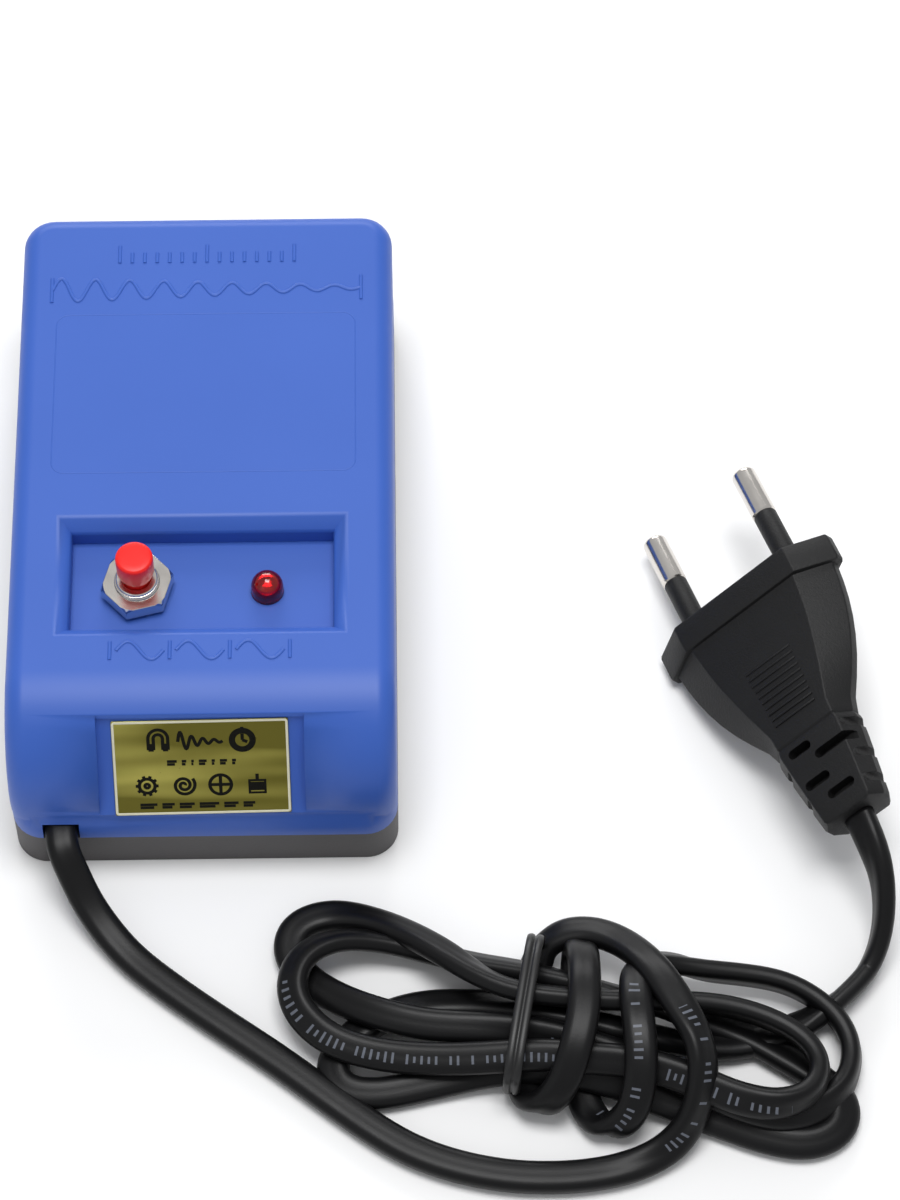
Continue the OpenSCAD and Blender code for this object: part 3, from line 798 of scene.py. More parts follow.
class DEMAG_OT_case(bpy.types.Operator):
    """Build the cover and the base from their frame nodes, with rounded edges"""

    bl_idname = "demag.case"
    bl_label = "Case"

    def execute(self, context):
        case = context.scene.demag_case
        cover = merged_copy("top_cover", "cover")
        self.soften_pocket(cover, case)
        sharpen(cover, 34)
        even_shading(cover)
        finish_piece(cover, cover_material())
        base = merged_copy("base_tray", "base")
        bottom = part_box("base_tray")[0].z
        round_edges(base, 0.3 * MM, lambda p, edge: p.z < bottom + 0.5 * MM)
        sharpen(base, 34)
        even_shading(base)
        finish_piece(base, base_material())
        return {"FINISHED"}

    @staticmethod
    def soften_pocket(cover, case):
        """Rounds the lines where the pocket's sloped rim meets the deck and the upright walls."""
        deck = deck_height()
        middle = control_centre("switch_bushing").y

        def rim_line(p, edge):
            inside = all(abs(v.co.x) < POCKET_HALF[0] and abs(v.co.y - middle) < POCKET_HALF[1]
                         for v in edge.verts)
            level = abs(edge.verts[0].co.z - edge.verts[1].co.z) < 0.02 * MM
            return inside and level and p.z > deck - POCKET_RIM

        round_edges(cover, case.edge_round, rim_line, clamp=False)


def upright(x, y, height, level):
    """An upright stroke on the deck, as an open line."""
    return [(x, y - height / 2, level), (x, y + height / 2, level)], False


def scale_strokes(level):
    """A row of short strokes along one base line, every seventh one taller."""
    width, height, y = 28 * MM, 3.3 * MM, 42.6 * MM
    strokes = 15
    lines = []
    for i in range(strokes):
        x = -width / 2 + width * i / (strokes - 1)
        reach = height / 2 if i % 7 == 0 else height / 3.4
        lines.append(([(x, y - height / 2, level), (x, y - height / 2 + 2 * reach, level)], False))
    return lines


def dying_wave(level):
    """A wave that fades from left to right, between two strokes."""
    width, height, y = 49.2 * MM, 4.6 * MM, 35.8 * MM
    steps, cycles, fade = 220, 9, 0.86
    wave = []
    for i in range(steps + 1):
        t = i / steps
        swing = height / 2 * (1 - fade * t)
        wave.append((-width / 2 + width * t, y + swing * math.sin(2 * math.pi * cycles * t), level))
    ends = [upright(end * (width / 2 + 0.1 * MM), y, height, level) for end in (-1, 1)]
    return [(wave, False)] + ends


def mains_waves(level):
    """Three single waves between four strokes."""
    width, height, y = 27.4 * MM, 3.15 * MM, -30.4 * MM
    steps = 24
    lines = []
    for k in (-1, 0, 1):
        wave = []
        for i in range(steps + 1):
            x = k * width / 3 + width / 3.8 * (i / steps - 0.5)
            wave.append((x, y + height / 2 * math.sin(2 * math.pi * i / steps), level))
        lines.append((wave, False))
    return lines + [upright(k * width / 3, y, height, level) for k in (-1.5, -0.5, 0.5, 1.5)]


class DEMAG_OT_relief_marks(bpy.types.Operator):
    """Raise the plain marks on the deck: scale strokes, a dying wave, mains waves and a panel line"""

    bl_idname = "demag.relief_marks"
    bl_label = "Raised marks"

    def execute(self, context):
        case = context.scene.demag_case
        radius = case.stroke_width / 2
        level = deck_height() - radius + case.stroke_height
        lines = scale_strokes(level) + dying_wave(level) + mains_waves(level)
        marks = bead_lines("deck_marks", lines, radius, 12, cover_material())
        finish_piece(marks, cover_material())
        half_x, half_y, middle, corner = 23.75 * MM, 14.8 * MM, 16.2 * MM, 2 * MM
        edge = 0.12 * MM
        level = deck_height() - edge + 0.045 * MM
        outline = [(x, y + middle, level) for x, y in rounded_box(half_x, half_y, corner, 6)]
        panel = bead_lines("deck_panel_line", [(outline, True)], edge, 8, cover_material())
        finish_piece(panel, cover_material())
        return {"FINISHED"}


# ---- label

LABEL_TILT = math.radians(54.5)
LABEL_TURN = math.radians(0.7)               # how far off straight it is stuck on
LABEL_HEIGHT = 16.0 * MM
LABEL_THICKNESS = 0.25 * MM


def label_frame():
    """Matrix from the label's own plane (x across, y up the slope, z out) to the row frame."""
    low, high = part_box("foil_label")
    upwards = Vector((0, math.cos(LABEL_TILT), math.sin(LABEL_TILT)))
    outwards = Vector((0, -math.sin(LABEL_TILT), math.cos(LABEL_TILT)))
    centre = (low + high) / 2 + outwards * LABEL_THICKNESS / 2
    matrix = Matrix.Identity(4)
    for column, axis in enumerate((Vector((1, 0, 0)), upwards, outwards, centre)):
        for row in range(3):
            matrix[row][column] = axis[row]
    return matrix @ Matrix.Rotation(LABEL_TURN, 4, "Z")


def stroke(*points):
    """An open line of the label's print."""
    return list(points), False


def ring(x, y, radius, steps=28):
    """A closed round line of the label's print."""
    return arc((x, y), radius, 0, 360, steps), True


def magnet_sign(x, y):
    """A horseshoe magnet with its two poles marked off."""
    outer, inner, foot, pole = 1.5, 0.7, y - 1.9, y - 1.1
    lines = [stroke((x - r, foot), *arc((x, y), r, 180, 0, steps), (x + r, foot))
             for r, steps in ((outer, 16), (inner, 12))]
    for side in (-1, 1):
        near, middle, far = x + side * inner, x + side * 1.1, x + side * outer
        lines += [stroke((near, foot), (far, foot)), stroke((near, pole), (far, pole)),
                  stroke((middle, foot), (middle, pole))]
    return lines


def wave_sign(x, y):
    """A wave that dies away."""
    steps, width, height, cycles = 60, 6.8, 1.9, 4
    points = []
    for i in range(steps + 1):
        swing = height * math.exp(-i / 26)
        points.append((x + width * i / steps, y + swing * math.sin(i / steps * 2 * math.pi * cycles)))
    return [stroke(*points)]


def dial_sign(x, y):
    """A watch dial with its hands and crown."""
    return [ring(x, y, 1.8), ring(x, y, 1.35), stroke((x, y), (x, y + 1.05)),
            stroke((x, y), (x + 0.75, y - 0.35)), stroke((x, y + 1.8), (x, y + 2.2))]


def wheel_sign(x, y):
    """A toothed wheel."""
    teeth, root, tip = 10, 1.2, 1.75
    lines = [ring(x, y, root)]
    for k in range(teeth):
        a = 2 * math.pi * k / teeth
        lines.append(stroke(*[(x + r * math.cos(a), y + r * math.sin(a)) for r in (root, tip)]))
    return lines + [ring(x, y, 0.35, 10)]


def hairspring_sign(x, y):
    """A spiral."""
    points = []
    for i in range(54):
        radius = 0.2 + i / 34
        points.append((x + radius * math.cos(i / 4), y + radius * math.sin(i / 4)))
    return [stroke(*points)]


def balance_sign(x, y):
    """A balance wheel with four arms."""
    r = 1.65
    return [ring(x, y, r), stroke((x - r, y), (x + r, y)), stroke((x, y - r), (x, y + r))]


def crown_sign(x, y):
    """A ribbed crown on its stem."""
    half, foot, top = 1.2, y - 1.5, y + 0.6
    knob = [(x - half, foot), (x + half, foot), (x + half, top), (x - half, top)]
    ribs = [stroke((x + k * 0.42, y - 1.1), (x + k * 0.42, y + 0.3)) for k in range(-2, 3)]
    return [(knob, True)] + ribs + [stroke((x, top), (x, y + 1.7))]


def label_bars():
    """Two rows of short plain bars, their lengths in a fixed order."""
    gap, drop, lower_share = 0.75, 0.5, 0.8
    lines = []
    for y, start, lengths in ((1.1, -5.2, (1.5, 0.7, 0.4, 1.2, 0.5, 1.1, 0.6)),
                              (-6.2, -9.6, (2.6, 1.9, 2.3, 3.0, 2.2, 1.8))):
        x = start
        for bar in lengths:
            lines += [stroke((x, y), (x + bar, y)), stroke((x, y - drop), (x + bar * lower_share, y - drop))]
            x += bar + gap
    return lines


class DEMAG_OT_label(bpy.types.Operator):
    """Lay the gold foil label in its recess, with a pale edge and plain printed signs"""

    bl_idname = "demag.label"
    bl_label = "Label"

    def execute(self, context):
        label = context.scene.demag_label
        low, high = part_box("foil_label")
        half_w, half_h = (high.x - low.x - 0.4 * MM) / 2, LABEL_HEIGHT / 2
        stations = []
        for inset, z in ((0, -LABEL_THICKNESS), (0, -0.03 * MM), (0.03 * MM, 0)):
            outline = rounded_box(half_w - inset, half_h - inset, 0.25 * MM)
            stations.append([(x, y, z) for x, y in outline])
        foil = loft("foil_plate", stations)
        sharpen(foil, 30)
        foil.data.transform(label_frame())
        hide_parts("foil_label")
        finish_piece(foil, foil_material())
        inset = 0.25 * MM
        border = rounded_box(half_w - inset, half_h - inset, 0.3 * MM)
        signs = (magnet_sign(-6.4, 5.0) + wave_sign(-3.4, 4.4) + dial_sign(6.4, 4.5) + wheel_sign(-8.4, -3.0)
                 + hairspring_sign(-2.8, -3.0) + balance_sign(2.8, -3.0) + crown_sign(8.4, -3.0))
        self.print_lines("label_edge", [(border, True)], 0.2 * MM, border_material())
        self.print_lines("label_signs", self.scaled(signs), label.ink_width * 0.62, ink_material())
        self.print_lines("label_bars", self.scaled(label_bars()), label.ink_width * 0.55, ink_material())
        return {"FINISHED"}

    @staticmethod
    def scaled(lines):
        return [(in_mm(points), closed) for points, closed in lines]

    @staticmethod
    def print_lines(name, lines, radius, material):
        """Beads along the lines, pressed down to a film on the label's face."""
        flat = [([(x, y, 0) for x, y in points], closed) for points, closed in lines]
        print_film = bead_lines(name, flat, radius, 8, material)
        press = Matrix.Translation((0, 0, 0.005 * MM)) @ Matrix.Diagonal((1, 1, 0.1, 1))
        print_film.data.transform(label_frame() @ press)
        finish_piece(print_film, material)


# ---- controls


def control_centre(node):
    low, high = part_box(node)
    return Vector(((low.x + high.x) / 2, (low.y + high.y) / 2, 0))


class DEMAG_OT_button(bpy.types.Operator):
    """Build the red push cap with its rounded rim and its stem"""

    bl_idname = "demag.button"
    bl_label = "Push button"

    def execute(self, context):
        low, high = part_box("button_cap")
        centre = control_centre("button_cap")
        centre.z = low.z
        r, h, rim = (high.x - low.x) / 2, high.z - low.z, 0.55 * MM
        stem, depth = 2.03 * MM, 1.9 * MM
        profile = [(0, -depth), (1.0 * MM, -depth), (stem, -depth), (stem, 0.25 * MM), (r - 0.5 * MM, 0.0),
                   (r - 0.12 * MM, 0.1 * MM), (r - 0.04 * MM, 0.45 * MM), (r, h - rim - 0.05 * MM)]
        profile += arc((r - rim, h - rim - 0.04 * MM), rim, 0, 80, 7)
        profile += [(r * 0.55, h - 0.012 * MM), (r * 0.25, h - 0.002 * MM), (0, h)]
        cap = spin_profile("push_cap", profile, 64, centre)
        sharpen(cap, 40)
        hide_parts("button_cap")
        finish_piece(cap, cap_material(), "button")
        return {"FINISHED"}


class DEMAG_OT_bushing(bpy.types.Operator):
    """Build the threaded bushing, its nut and the toothed washer"""

    bl_idname = "demag.bushing"
    bl_label = "Bushing, nut and washer"

    def execute(self, context):
        controls = context.scene.demag_controls
        low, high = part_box("switch_bushing")
        centre = control_centre("switch_bushing")
        top, bottom = high.z, low.z
        outer, bore, flange = 3.5 * MM, 2.07 * MM, (high.x - low.x) / 2
        chamfer = 0.35 * MM
        core = outer - 0.22 * MM
        seat = bottom + 2 * MM
        profile = [(bore, bottom), (flange, bottom), (flange, seat), (core, seat),
                   (core, top - chamfer), (core - 0.12 * MM, top - 0.1 * MM), (core - 0.25 * MM, top),
                   (bore + 0.25 * MM, top), (bore, top - 0.25 * MM)]
        body = spin_profile("bushing_barrel", profile, 72, centre, closed=True)
        sharpen(body, 30)
        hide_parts("switch_bushing")
        finish_piece(body, nickel_material())
        pitch = controls.thread_pitch
        start = seat + pitch
        turns = int((top - chamfer - start) / pitch)
        helix = []
        steps = 36
        for i in range(turns * steps + 1):
            angle = 2 * math.pi * i / steps
            run_out = min(1.0, (turns * steps - i) / 12 + 0.15)
            radius = core - 0.03 * MM * (1 - run_out)
            helix.append(centre + Vector((radius * math.cos(angle), radius * math.sin(angle),
                                          start + pitch * i / steps)))
        thread = bead_lines("bushing_thread", [(helix, False)], outer - core, 8, nickel_material())
        finish_piece(thread, nickel_material())
        nut = merged_copy("switch_nut", "hex_nut")
        round_edges(nut, 0.12 * MM, lambda p, edge: edge.calc_length() > 0.6 * MM)
        sharpen(nut, 30)
        even_shading(nut)
        finish_piece(nut, nickel_material())
        self.washer(controls, centre)
        return {"FINISHED"}

    @staticmethod
    def washer(controls, centre):
        low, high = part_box("switch_lock_washer")
        outer = (high.x - low.x) / 2
        hole, edge, under, over = 3.55 * MM, outer - 0.95 * MM, 0.02 * MM, 0.45 * MM
        profile = [(hole, under), (edge, under), (edge, over), (hole, over)]
        plate = spin_profile("washer_ring", profile, 64, Vector((centre.x, centre.y, low.z)), closed=True)
        sharpen(plate, 30)
        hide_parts("switch_lock_washer")
        finish_piece(plate, nickel_material())
        inner, tip, half = outer - 1.1 * MM, outer - 0.3 * MM, 0.36 * MM
        twist = 0.14 * MM
        corners = [(inner, -half, 0.08 * MM), (tip, -half, 0.02 * MM), (tip, half, 0.2 * MM + twist),
                   (inner, half, 0.1 * MM + twist)]
        verts = corners + [(x, y, z + 0.24 * MM) for x, y, z in corners]
        tooth = add_object("washer_teeth", verts, [(3, 2, 1, 0), (4, 5, 6, 7)] + band(0, 4, 4), smooth=False)
        grow(tooth, "Ring of copies", Count=controls.teeth, Material=nickel_material())
        tooth.data.transform(Matrix.Translation((centre.x, centre.y, low.z)))
        finish_piece(tooth, nickel_material())


class DEMAG_OT_lamp(bpy.types.Operator):
    """Build the lamp's domed lens and the cup inside it"""

    bl_idname = "demag.lamp"
    bl_label = "Lamp"

    def execute(self, context):
        low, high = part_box("led_lens")
        centre = control_centre("led_lens")
        radius = 2.5 * MM
        rim = (high.x - low.x) / 2
        dome = high.z - radius
        under, over = dome - 4.6 * MM, dome - 3.6 * MM
        profile = [(0, low.z), (radius, low.z), (radius, under), (rim, under), (rim, over), (radius, over),
                   (radius, dome)]
        profile += arc((0, dome), radius, 6, 84, 14) + [(0, dome + radius)]
        lens = spin_profile("lamp_lens", profile, 64, centre)
        sharpen(lens, 40)
        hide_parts("led_lens")
        finish_piece(lens, lens_material())
        cup_profile = [(0, -1.6), (0.9, -1.6), (0.9, -0.5), (1.25, 0), (1.05, 0), (0.6, -0.55), (0, -0.6)]
        cup_top = centre + Vector((0, 0, dome - 0.1 * MM))
        cup = spin_profile("lamp_cup", in_mm(cup_profile), 32, cup_top)
        sharpen(cup, 30)
        finish_piece(cup, nickel_material())
        return {"FINISHED"}


# ---- lead, tie and plug

PLUG_PLACE = (Matrix.Translation((0.085, -0.0114, 0.0110)) @ Matrix.Rotation(math.radians(20.6), 4, "Z")
              @ Matrix.Rotation(math.radians(-4.3), 4, "X") @ Matrix.Rotation(math.radians(-35), 4, "Y"))

# The lead's route: each stretch has the tilt of the flat section in degrees, 0 flat and 90 on edge, and its
# points in millimetres. The first stretch repeats the start of the frame's run route, and the points from
# (88, -82.4, 1.8) on repeat its tail route.
LEAD_STRETCHES = [
    (0, [(-22, -40, 9.7), (-22, -46, 9.7), (-22, -51, 9.7), (-21.5, -54, 9.2), (-20, -57, 7),
         (-18, -60.5, 4.6), (-15, -64.5, 2.8), (-11, -69, 2), (-5, -74, 1.8), (3, -80, 1.8),
         (12, -86.5, 1.8), (22, -94.5, 1.8), (31.5, -101, 1.8), (42, -104.5, 1.8), (52, -105.5, 1.8),
         (62, -104.5, 1.8)]),
    (30, [(69.5, -101.5, 2.6)]),
    (55, [(73.4, -97.6, 6.0)]),
    (40, [(74.9, -92.4, 10.6), (74.0, -87.2, 12.4)]),
    (0, [(71.8, -82.8, 12.6), (69.2, -77.6, 11.8)]),
    (15, [(66.4, -73, 9.8), (63, -69, 7), (59, -66.9, 5.6), (54.8, -66.8, 4.6)]),
    (45, [(51.6, -68.6, 3)]),
    (0, [(50.2, -72.4, 1.6), (49.2, -78, 1.6), (48.2, -84, 1.6), (48.2, -89.4, 1.6)]),
    (0, [(49, -93.2, 2.6), (51.6, -94.8, 5), (54.3, -92.6, 8.6), (56, -88.4, 11.4), (57.2, -83.4, 12.2),
         (57.6, -77.8, 11.8), (57.6, -73, 9.4), (57.4, -70.0, 6)]),
    (0, [(57, -69.6, 3.2), (56.8, -72.4, 1.7), (56.6, -79, 1.6), (56.4, -85, 1.6), (56.8, -91, 1.6)]),
    (0, [(58.4, -95.8, 1.8), (61.4, -98, 3), (64.4, -96.6, 6), (65.6, -92.4, 9.8), (65.6, -87, 11.8),
         (65.2, -81.6, 11.8), (65.4, -76.6, 10)]),
    (50, [(67.6, -73.4, 8), (71.5, -72.8, 6.4)]),
    (80, [(76, -73.6, 5.4), (82, -74, 4.6), (88, -75, 4), (93, -77.6, 3.4), (96.6, -81.4, 3), (98, -86, 2.8),
          (96.8, -91, 3)]),
    (40, [(93.4, -95, 3.4), (88, -97, 4.4)]),
    (10, [(82, -96.0, 4.8), (76, -93.2, 4.8), (70, -90.2, 4.9)]),
    (40, [(63, -87.6, 5.4), (56, -85.2, 5.8), (49, -83.3, 5.4)]),
    (20, [(42, -82.6, 5.6), (34, -82, 5.4), (27, -80, 5), (20.6, -76.8, 3.6)]),
    (5, [(15.4, -72.6, 2.2), (12.8, -67.8, 1.8), (14.2, -63.6, 1.8), (19, -61.8, 1.8)]),
    (30, [(25, -63, 2.8), (31, -66.4, 4.8), (37, -71, 6.8)]),
    (60, [(43, -75.8, 7.6), (49, -78, 7.8), (56, -79, 8), (63, -79.6, 8), (70, -79.4, 7.6)]),
    (80, [(78, -80, 7), (85, -82, 6.6), (90.4, -85.4, 6.6), (92.8, -90, 6.8), (90.8, -94.8, 7.4)]),
    (55, [(85.6, -96.9, 8.2)]),
    (30, [(79.6, -95.6, 8.2), (74, -92.8, 7.9), (66, -89.8, 7.8), (58, -88.8, 7.8)]),
    (20, [(50, -88, 7.4), (42, -88, 6.4), (34, -87.6, 5.4), (26, -86.4, 4.8), (19, -83.8, 4.8)]),
    (35, [(14.6, -79.6, 5.6), (13.4, -74.8, 6), (15.4, -70.2, 6)]),
    (50, [(20.4, -67.6, 5.2), (27, -67.2, 3.6), (34, -68.6, 2.6), (41, -70.8, 3), (48, -72.6, 4)]),
    (60, [(55, -74.8, 4.8), (62, -77, 4.8), (69, -79, 4.4)]),
    (20, [(76, -80.6, 2.6), (82, -82.8, 1.7), (88, -86.6, 1.7), (93.4, -90.4, 1.7), (96.4, -94.4, 1.7),
          (95.2, -98.6, 1.7), (90.4, -100.6, 1.7), (84, -99.4, 1.7), (77, -96.6, 1.7), (70, -94, 2.4)]),
    (40, [(63, -91.6, 4), (56, -89.6, 4.8), (49, -88.6, 4)]),
    (15, [(42, -88.6, 2.4), (34, -90.2, 1.7), (27, -91.6, 1.7), (21.6, -91, 1.7), (19.4, -87.4, 1.7),
          (21.4, -83.2, 1.7), (26, -79.6, 1.7), (32, -77.4, 1.7), (39, -77, 1.7), (46, -78, 3)]),
    (40, [(53, -80, 4.6), (60, -82, 4.8), (67, -83.6, 4.2), (74, -84.6, 2.6)]),
    (10, [(81, -84.4, 1.8), (88, -82.4, 1.8)]),
    (50, [(93, -80, 1.8)]),
    (80, [(97.4, -76.8, 1.8), (100.8, -73.2, 2.2), (103, -69.2, 4.2), (103.8, -65, 7.6), (103.4, -60.5, 11),
          (101.8, -56, 13.5), (100.2, -51.8, 14.1)]),
]
TURNS_OVER_BUNDLE = (7, 8, 9, 10)            # stretches that wrap round the bundle
BUNDLE_AXIS = Vector((0.985, -0.176, 0))
SECTION_POWER = 2.9                          # how square the lead's section is
PLUG_TWIST = 20                              # path points over which the lead turns into line with the plug
ROUTE_PASSES = 12                            # times that the route is smoothed
TWIST_PASSES = 10                            # times that the section's turn is smoothed
LIFT_PASSES = 3


def lift_to_bench(path, across, lead):
    """Raises the centreline wherever the turned section would dip below the bench."""
    power = SECTION_POWER / (SECTION_POWER - 1)
    last = len(path) - 1
    for i, point in enumerate(path):
        heading = (path[min(i + 1, last)] - path[max(i - 1, 0)]).normalized()
        side = (across[i] - heading * across[i].dot(heading)).normalized()
        up = side.cross(heading)
        by_width = (lead.width / 2 * abs(side.z)) ** power
        by_thickness = (lead.thickness / 2 * abs(up.z)) ** power
        point.z = max(point.z, (by_width + by_thickness) ** (1 / power))


def lead_path(lead, steps=8):
    """The lead's centreline and the direction of its flat section's width at each point."""
    points = [Vector(p) * MM for _, stretch in LEAD_STRETCHES for p in stretch]
    tilts = [tilt for tilt, stretch in LEAD_STRETCHES for _ in stretch]
    wraps = [i in TURNS_OVER_BUNDLE for i, (_, stretch) in enumerate(LEAD_STRETCHES) for _ in stretch]
    path = smooth_path(points, steps)
    for _ in range(ROUTE_PASSES):
        path = path[:1] + [(a + b * 2 + c) / 4 for a, b, c in zip(path, path[1:], path[2:])] + path[-1:]
    across = []
    previous = Vector((1, 0, 0))
    plug_across = (PLUG_PLACE.to_3x3() @ Vector((1, 0, 0))).normalized()
    for i in range(len(path)):
        ahead, behind = path[min(i + 1, len(path) - 1)], path[max(i - 1, 0)]
        heading = (ahead - behind).normalized()
        at = min(i / steps, len(points) - 1)
        k = min(int(at), len(points) - 2)
        tilt = math.radians(tilts[k] + (tilts[k + 1] - tilts[k]) * (at - k))
        side = heading.cross(Vector((0, 0, 1)))
        if wraps[k] or wraps[k + 1]:
            side = BUNDLE_AXIS.copy()
        side = (side - heading * side.dot(heading)).normalized()
        if side.dot(previous) < 0:
            side.negate()
        up = side.cross(heading)
        if up.z < 0:
            up.negate()
        want = side * math.cos(tilt) + up * math.sin(tilt)
        if len(path) - i < PLUG_TWIST:
            share = 1 - (len(path) - i) / PLUG_TWIST
            want = want.lerp(plug_across if plug_across.dot(want) > 0 else -plug_across, share)
        if want.dot(previous) < 0:
            want.negate()
        across.append(want)
        previous = want
    for _ in range(TWIST_PASSES):
        across = [(across[max(i - 1, 0)] + across[i] * 2 + across[min(i + 1, len(across) - 1)]).normalized()
                  for i in range(len(across))]
    for _ in range(LIFT_PASSES):
        lift_to_bench(path, across, lead)
    return path, across


def flat_section(width, thickness, sides=24, power=SECTION_POWER):
    """The lead's section: flat on both faces, round at the edges, with a shallow waist between the cores."""
    outline = []
    for x, y in rounded_square(sides, power, 0.5):
        waist = 1 - 0.07 * math.exp(-(x / 0.22) ** 2)
        outline.append((x * width / 2, y * thickness / 2 * waist))
    return outline


class DEMAG_OT_lead(bpy.types.Operator):
    """Lay the flat lead from the case through its hank to the plug"""

    bl_idname = "demag.lead"
    bl_label = "Lead"

    def execute(self, context):
        lead = context.scene.demag_lead
        path, across = lead_path(lead)
        sheath = sweep("lead", path, across, flat_section(lead.width, lead.thickness))
        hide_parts("cord_run", "cord_hank", "cord_tail")
        finish_piece(sheath, lead_material())
        return {"FINISHED"}


class DEMAG_OT_tie(bpy.types.Operator):
    """Wind the ridged tie round the hank"""

    bl_idname = "demag.tie"
    bl_label = "Tie"

    def execute(self, context):
        low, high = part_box("cord_tie")
        middle = (low + high) / 2
        half_w, half_h = (high.y - low.y) / 2 - 0.9 * MM, (high.z - low.z) / 2 - 0.6 * MM
        axis = BUNDLE_AXIS
        beside = Vector((-axis.y, axis.x, 0))
        path = []
        for x, z in rounded_square(72, 3.0):
            path.append(middle + beside * (x * half_w) + Vector((0, 0, z * half_h)))
        section = []
        sides = 36
        for k in range(sides):
            angle = 2 * math.pi * k / sides
            x = math.cos(angle)
            lobe = math.sqrt(max(0.0, 1 - (2 * abs(x) - 1) ** 2))
            section.append((x * 1.35 * MM, math.copysign(0.16 + 0.44 * lobe, math.sin(angle)) * MM))
        tie = sweep("lead_tie", path, [axis] * len(path), section, closed=True)
        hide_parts("cord_tie")
        finish_piece(tie, tie_material())
        return {"FINISHED"}


def plug_outline(y, width, flat, thick, radius):
    """The plug's section at y: its whole width, the width of its flat faces, its thickness, its corners."""
    edge = 0.9
    quarter = [(width / 2, edge), (flat / 2, thick / 2)]
    corners = [(-width / 2, -edge), (-flat / 2, -thick / 2), (flat / 2, -thick / 2), (width / 2, -edge)]
    corners += quarter + [(-x, z) for x, z in reversed(quarter)]
    return in_mm([(x, y, z) for x, z in fillet(corners, radius)])


class DEMAG_OT_plug(bpy.types.Operator):
    """Mould the flat two-pin plug with its grip ribs and slotted strain relief"""

    bl_idname = "demag.plug"
    bl_label = "Plug"

    def execute(self, context):
        plug = context.scene.demag_plug
        stations = [plug_outline(*row) for row in (
            (0, 33.0, 21.2, 10.6, 0.5), (-0.12, 33.6, 21.7, 11.1, 0.5), (-0.5, 34, 22, 11.4, 0.5),
            (-4.5, 34, 22, 11.4, 0.5), (-4.9, 33.6, 21.8, 11.1, 0.5), (-5.0, 33.0, 21.4, 10.7, 0.5),
            (-5.05, 31.6, 20.6, 10.0, 0.5), (-5.4, 31.4, 20.4, 9.8, 0.5), (-8, 30.8, 19.8, 9.7, 0.5),
            (-11, 29.7, 18.9, 9.6, 0.5), (-14, 28.1, 17.7, 9.5, 0.5), (-17, 26.0, 16.2, 9.4, 0.5),
            (-20, 23.3, 14.6, 9.3, 0.5), (-23, 20.0, 12.8, 9.2, 0.5), (-26, 16.3, 11.0, 9.1, 0.5),
            (-27.6, 15.2, 10.9, 9.05, 0.5), (-28.3, 14.8, 10.8, 9.0, 0.5), (-28.6, 14.4, 10.6, 8.6, 0.45),
            (-29.0, 14.8, 11.0, 8.8, 0.45), (-29.6, 15.0, 11.2, 8.9, 0.45), (-33, 14.2, 10.6, 8.6, 0.45),
            (-38, 12.8, 9.6, 8.0, 0.45), (-42.8, 11.4, 8.6, 7.4, 0.45), (-43.3, 10.8, 8.0, 6.9, 0.45),
            (-43.45, 9.2, 6.8, 6.2, 0.4))]
        body = loft("plug_moulding", stations)
        cut(body, self.slots())
        sharpen(body, 26)
        body.data.transform(PLUG_PLACE)
        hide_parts("plug_body")
        finish_piece(body, plug_material())
        for side in (1, -1):
            self.grip(plug, side)
        self.collars()
        return {"FINISHED"}

    @staticmethod
    def slots():
        """The relief's staggered slots and edge notches, as one cutter."""
        verts, faces = [], []

        def add_prism(outline, low, high):
            start = len(verts)
            count = len(outline)
            for height in (low, high):
                verts.extend(in_mm([(x, y, height) for x, y in outline]))
            faces.append(tuple(start + k for k in reversed(range(count))))
            faces.append(tuple(start + count + k for k in range(count)))
            faces.extend(band(start, start + count, count))

        def pill(x, y, half, radius):
            return arc((x + half, y), radius, -90, 90, 8) + arc((x - half, y), radius, 90, 270, 8)

        for x, y, half in ((-2.2, -30.6, 1.3), (3.2, -33.0, 2.8), (-2.0, -36.6, 1.5), (0.8, -39.8, 1.7)):
            add_prism(pill(x, y, half, 0.78), 1.9, 6)
            add_prism(pill(-x, y, half, 0.78), -6, -1.9)
        for x, y in ((-8.0, -32.6), (8.0, -30.6), (-7.2, -38.6), (7.6, -36.0), (7.0, -40.4)):
            add_prism(pill(x, y, 1.7, 0.75), -6, 6)
        return add_object("slot_cutter", verts, faces, smooth=False)

    @staticmethod
    def grip(plug, side):
        """Fine ribs across one face of the grip."""
        name = "plug_grip_upper" if side > 0 else "plug_grip_lower"
        rib = add_object(name, *rib_solid(4.4 * MM, 0.2 * MM, 0.16 * MM))
        grow(rib, "Row of copies", Count=plug.grip_ribs, Step=(0.0, -plug.rib_pitch, -0.012 * MM),
             Taper=-0.012, Material=plug_material())
        face = Matrix.Translation((0, -14.6 * MM, 4.72 * MM))
        turn = Matrix.Identity(4) if side > 0 else Matrix.Rotation(math.pi, 4, "Y")
        rib.data.transform(PLUG_PLACE @ turn @ face)
        finish_piece(rib, plug_material())

    @staticmethod
    def collars():
        """The small rings that the pins come out of."""
        profile = in_mm([(1.4, -0.4), (2.75, -0.4), (2.7, 0.7), (2.4, 1.0), (1.4, 1.0)])
        verts, faces = [], []
        for side in (-1, 1):
            collar = spin_profile("collar", profile, 40, Vector(), closed=True)
            start = len(verts)
            verts += [pin_place(side) @ v.co for v in collar.data.vertices]
            faces += [tuple(start + k for k in face.vertices) for face in collar.data.polygons]
            bpy.data.objects.remove(collar)
        collar = add_object("plug_collars", [PLUG_PLACE @ v for v in verts], faces)
        face_outwards(collar)
        sharpen(collar, 30)
        finish_piece(collar, plug_material())


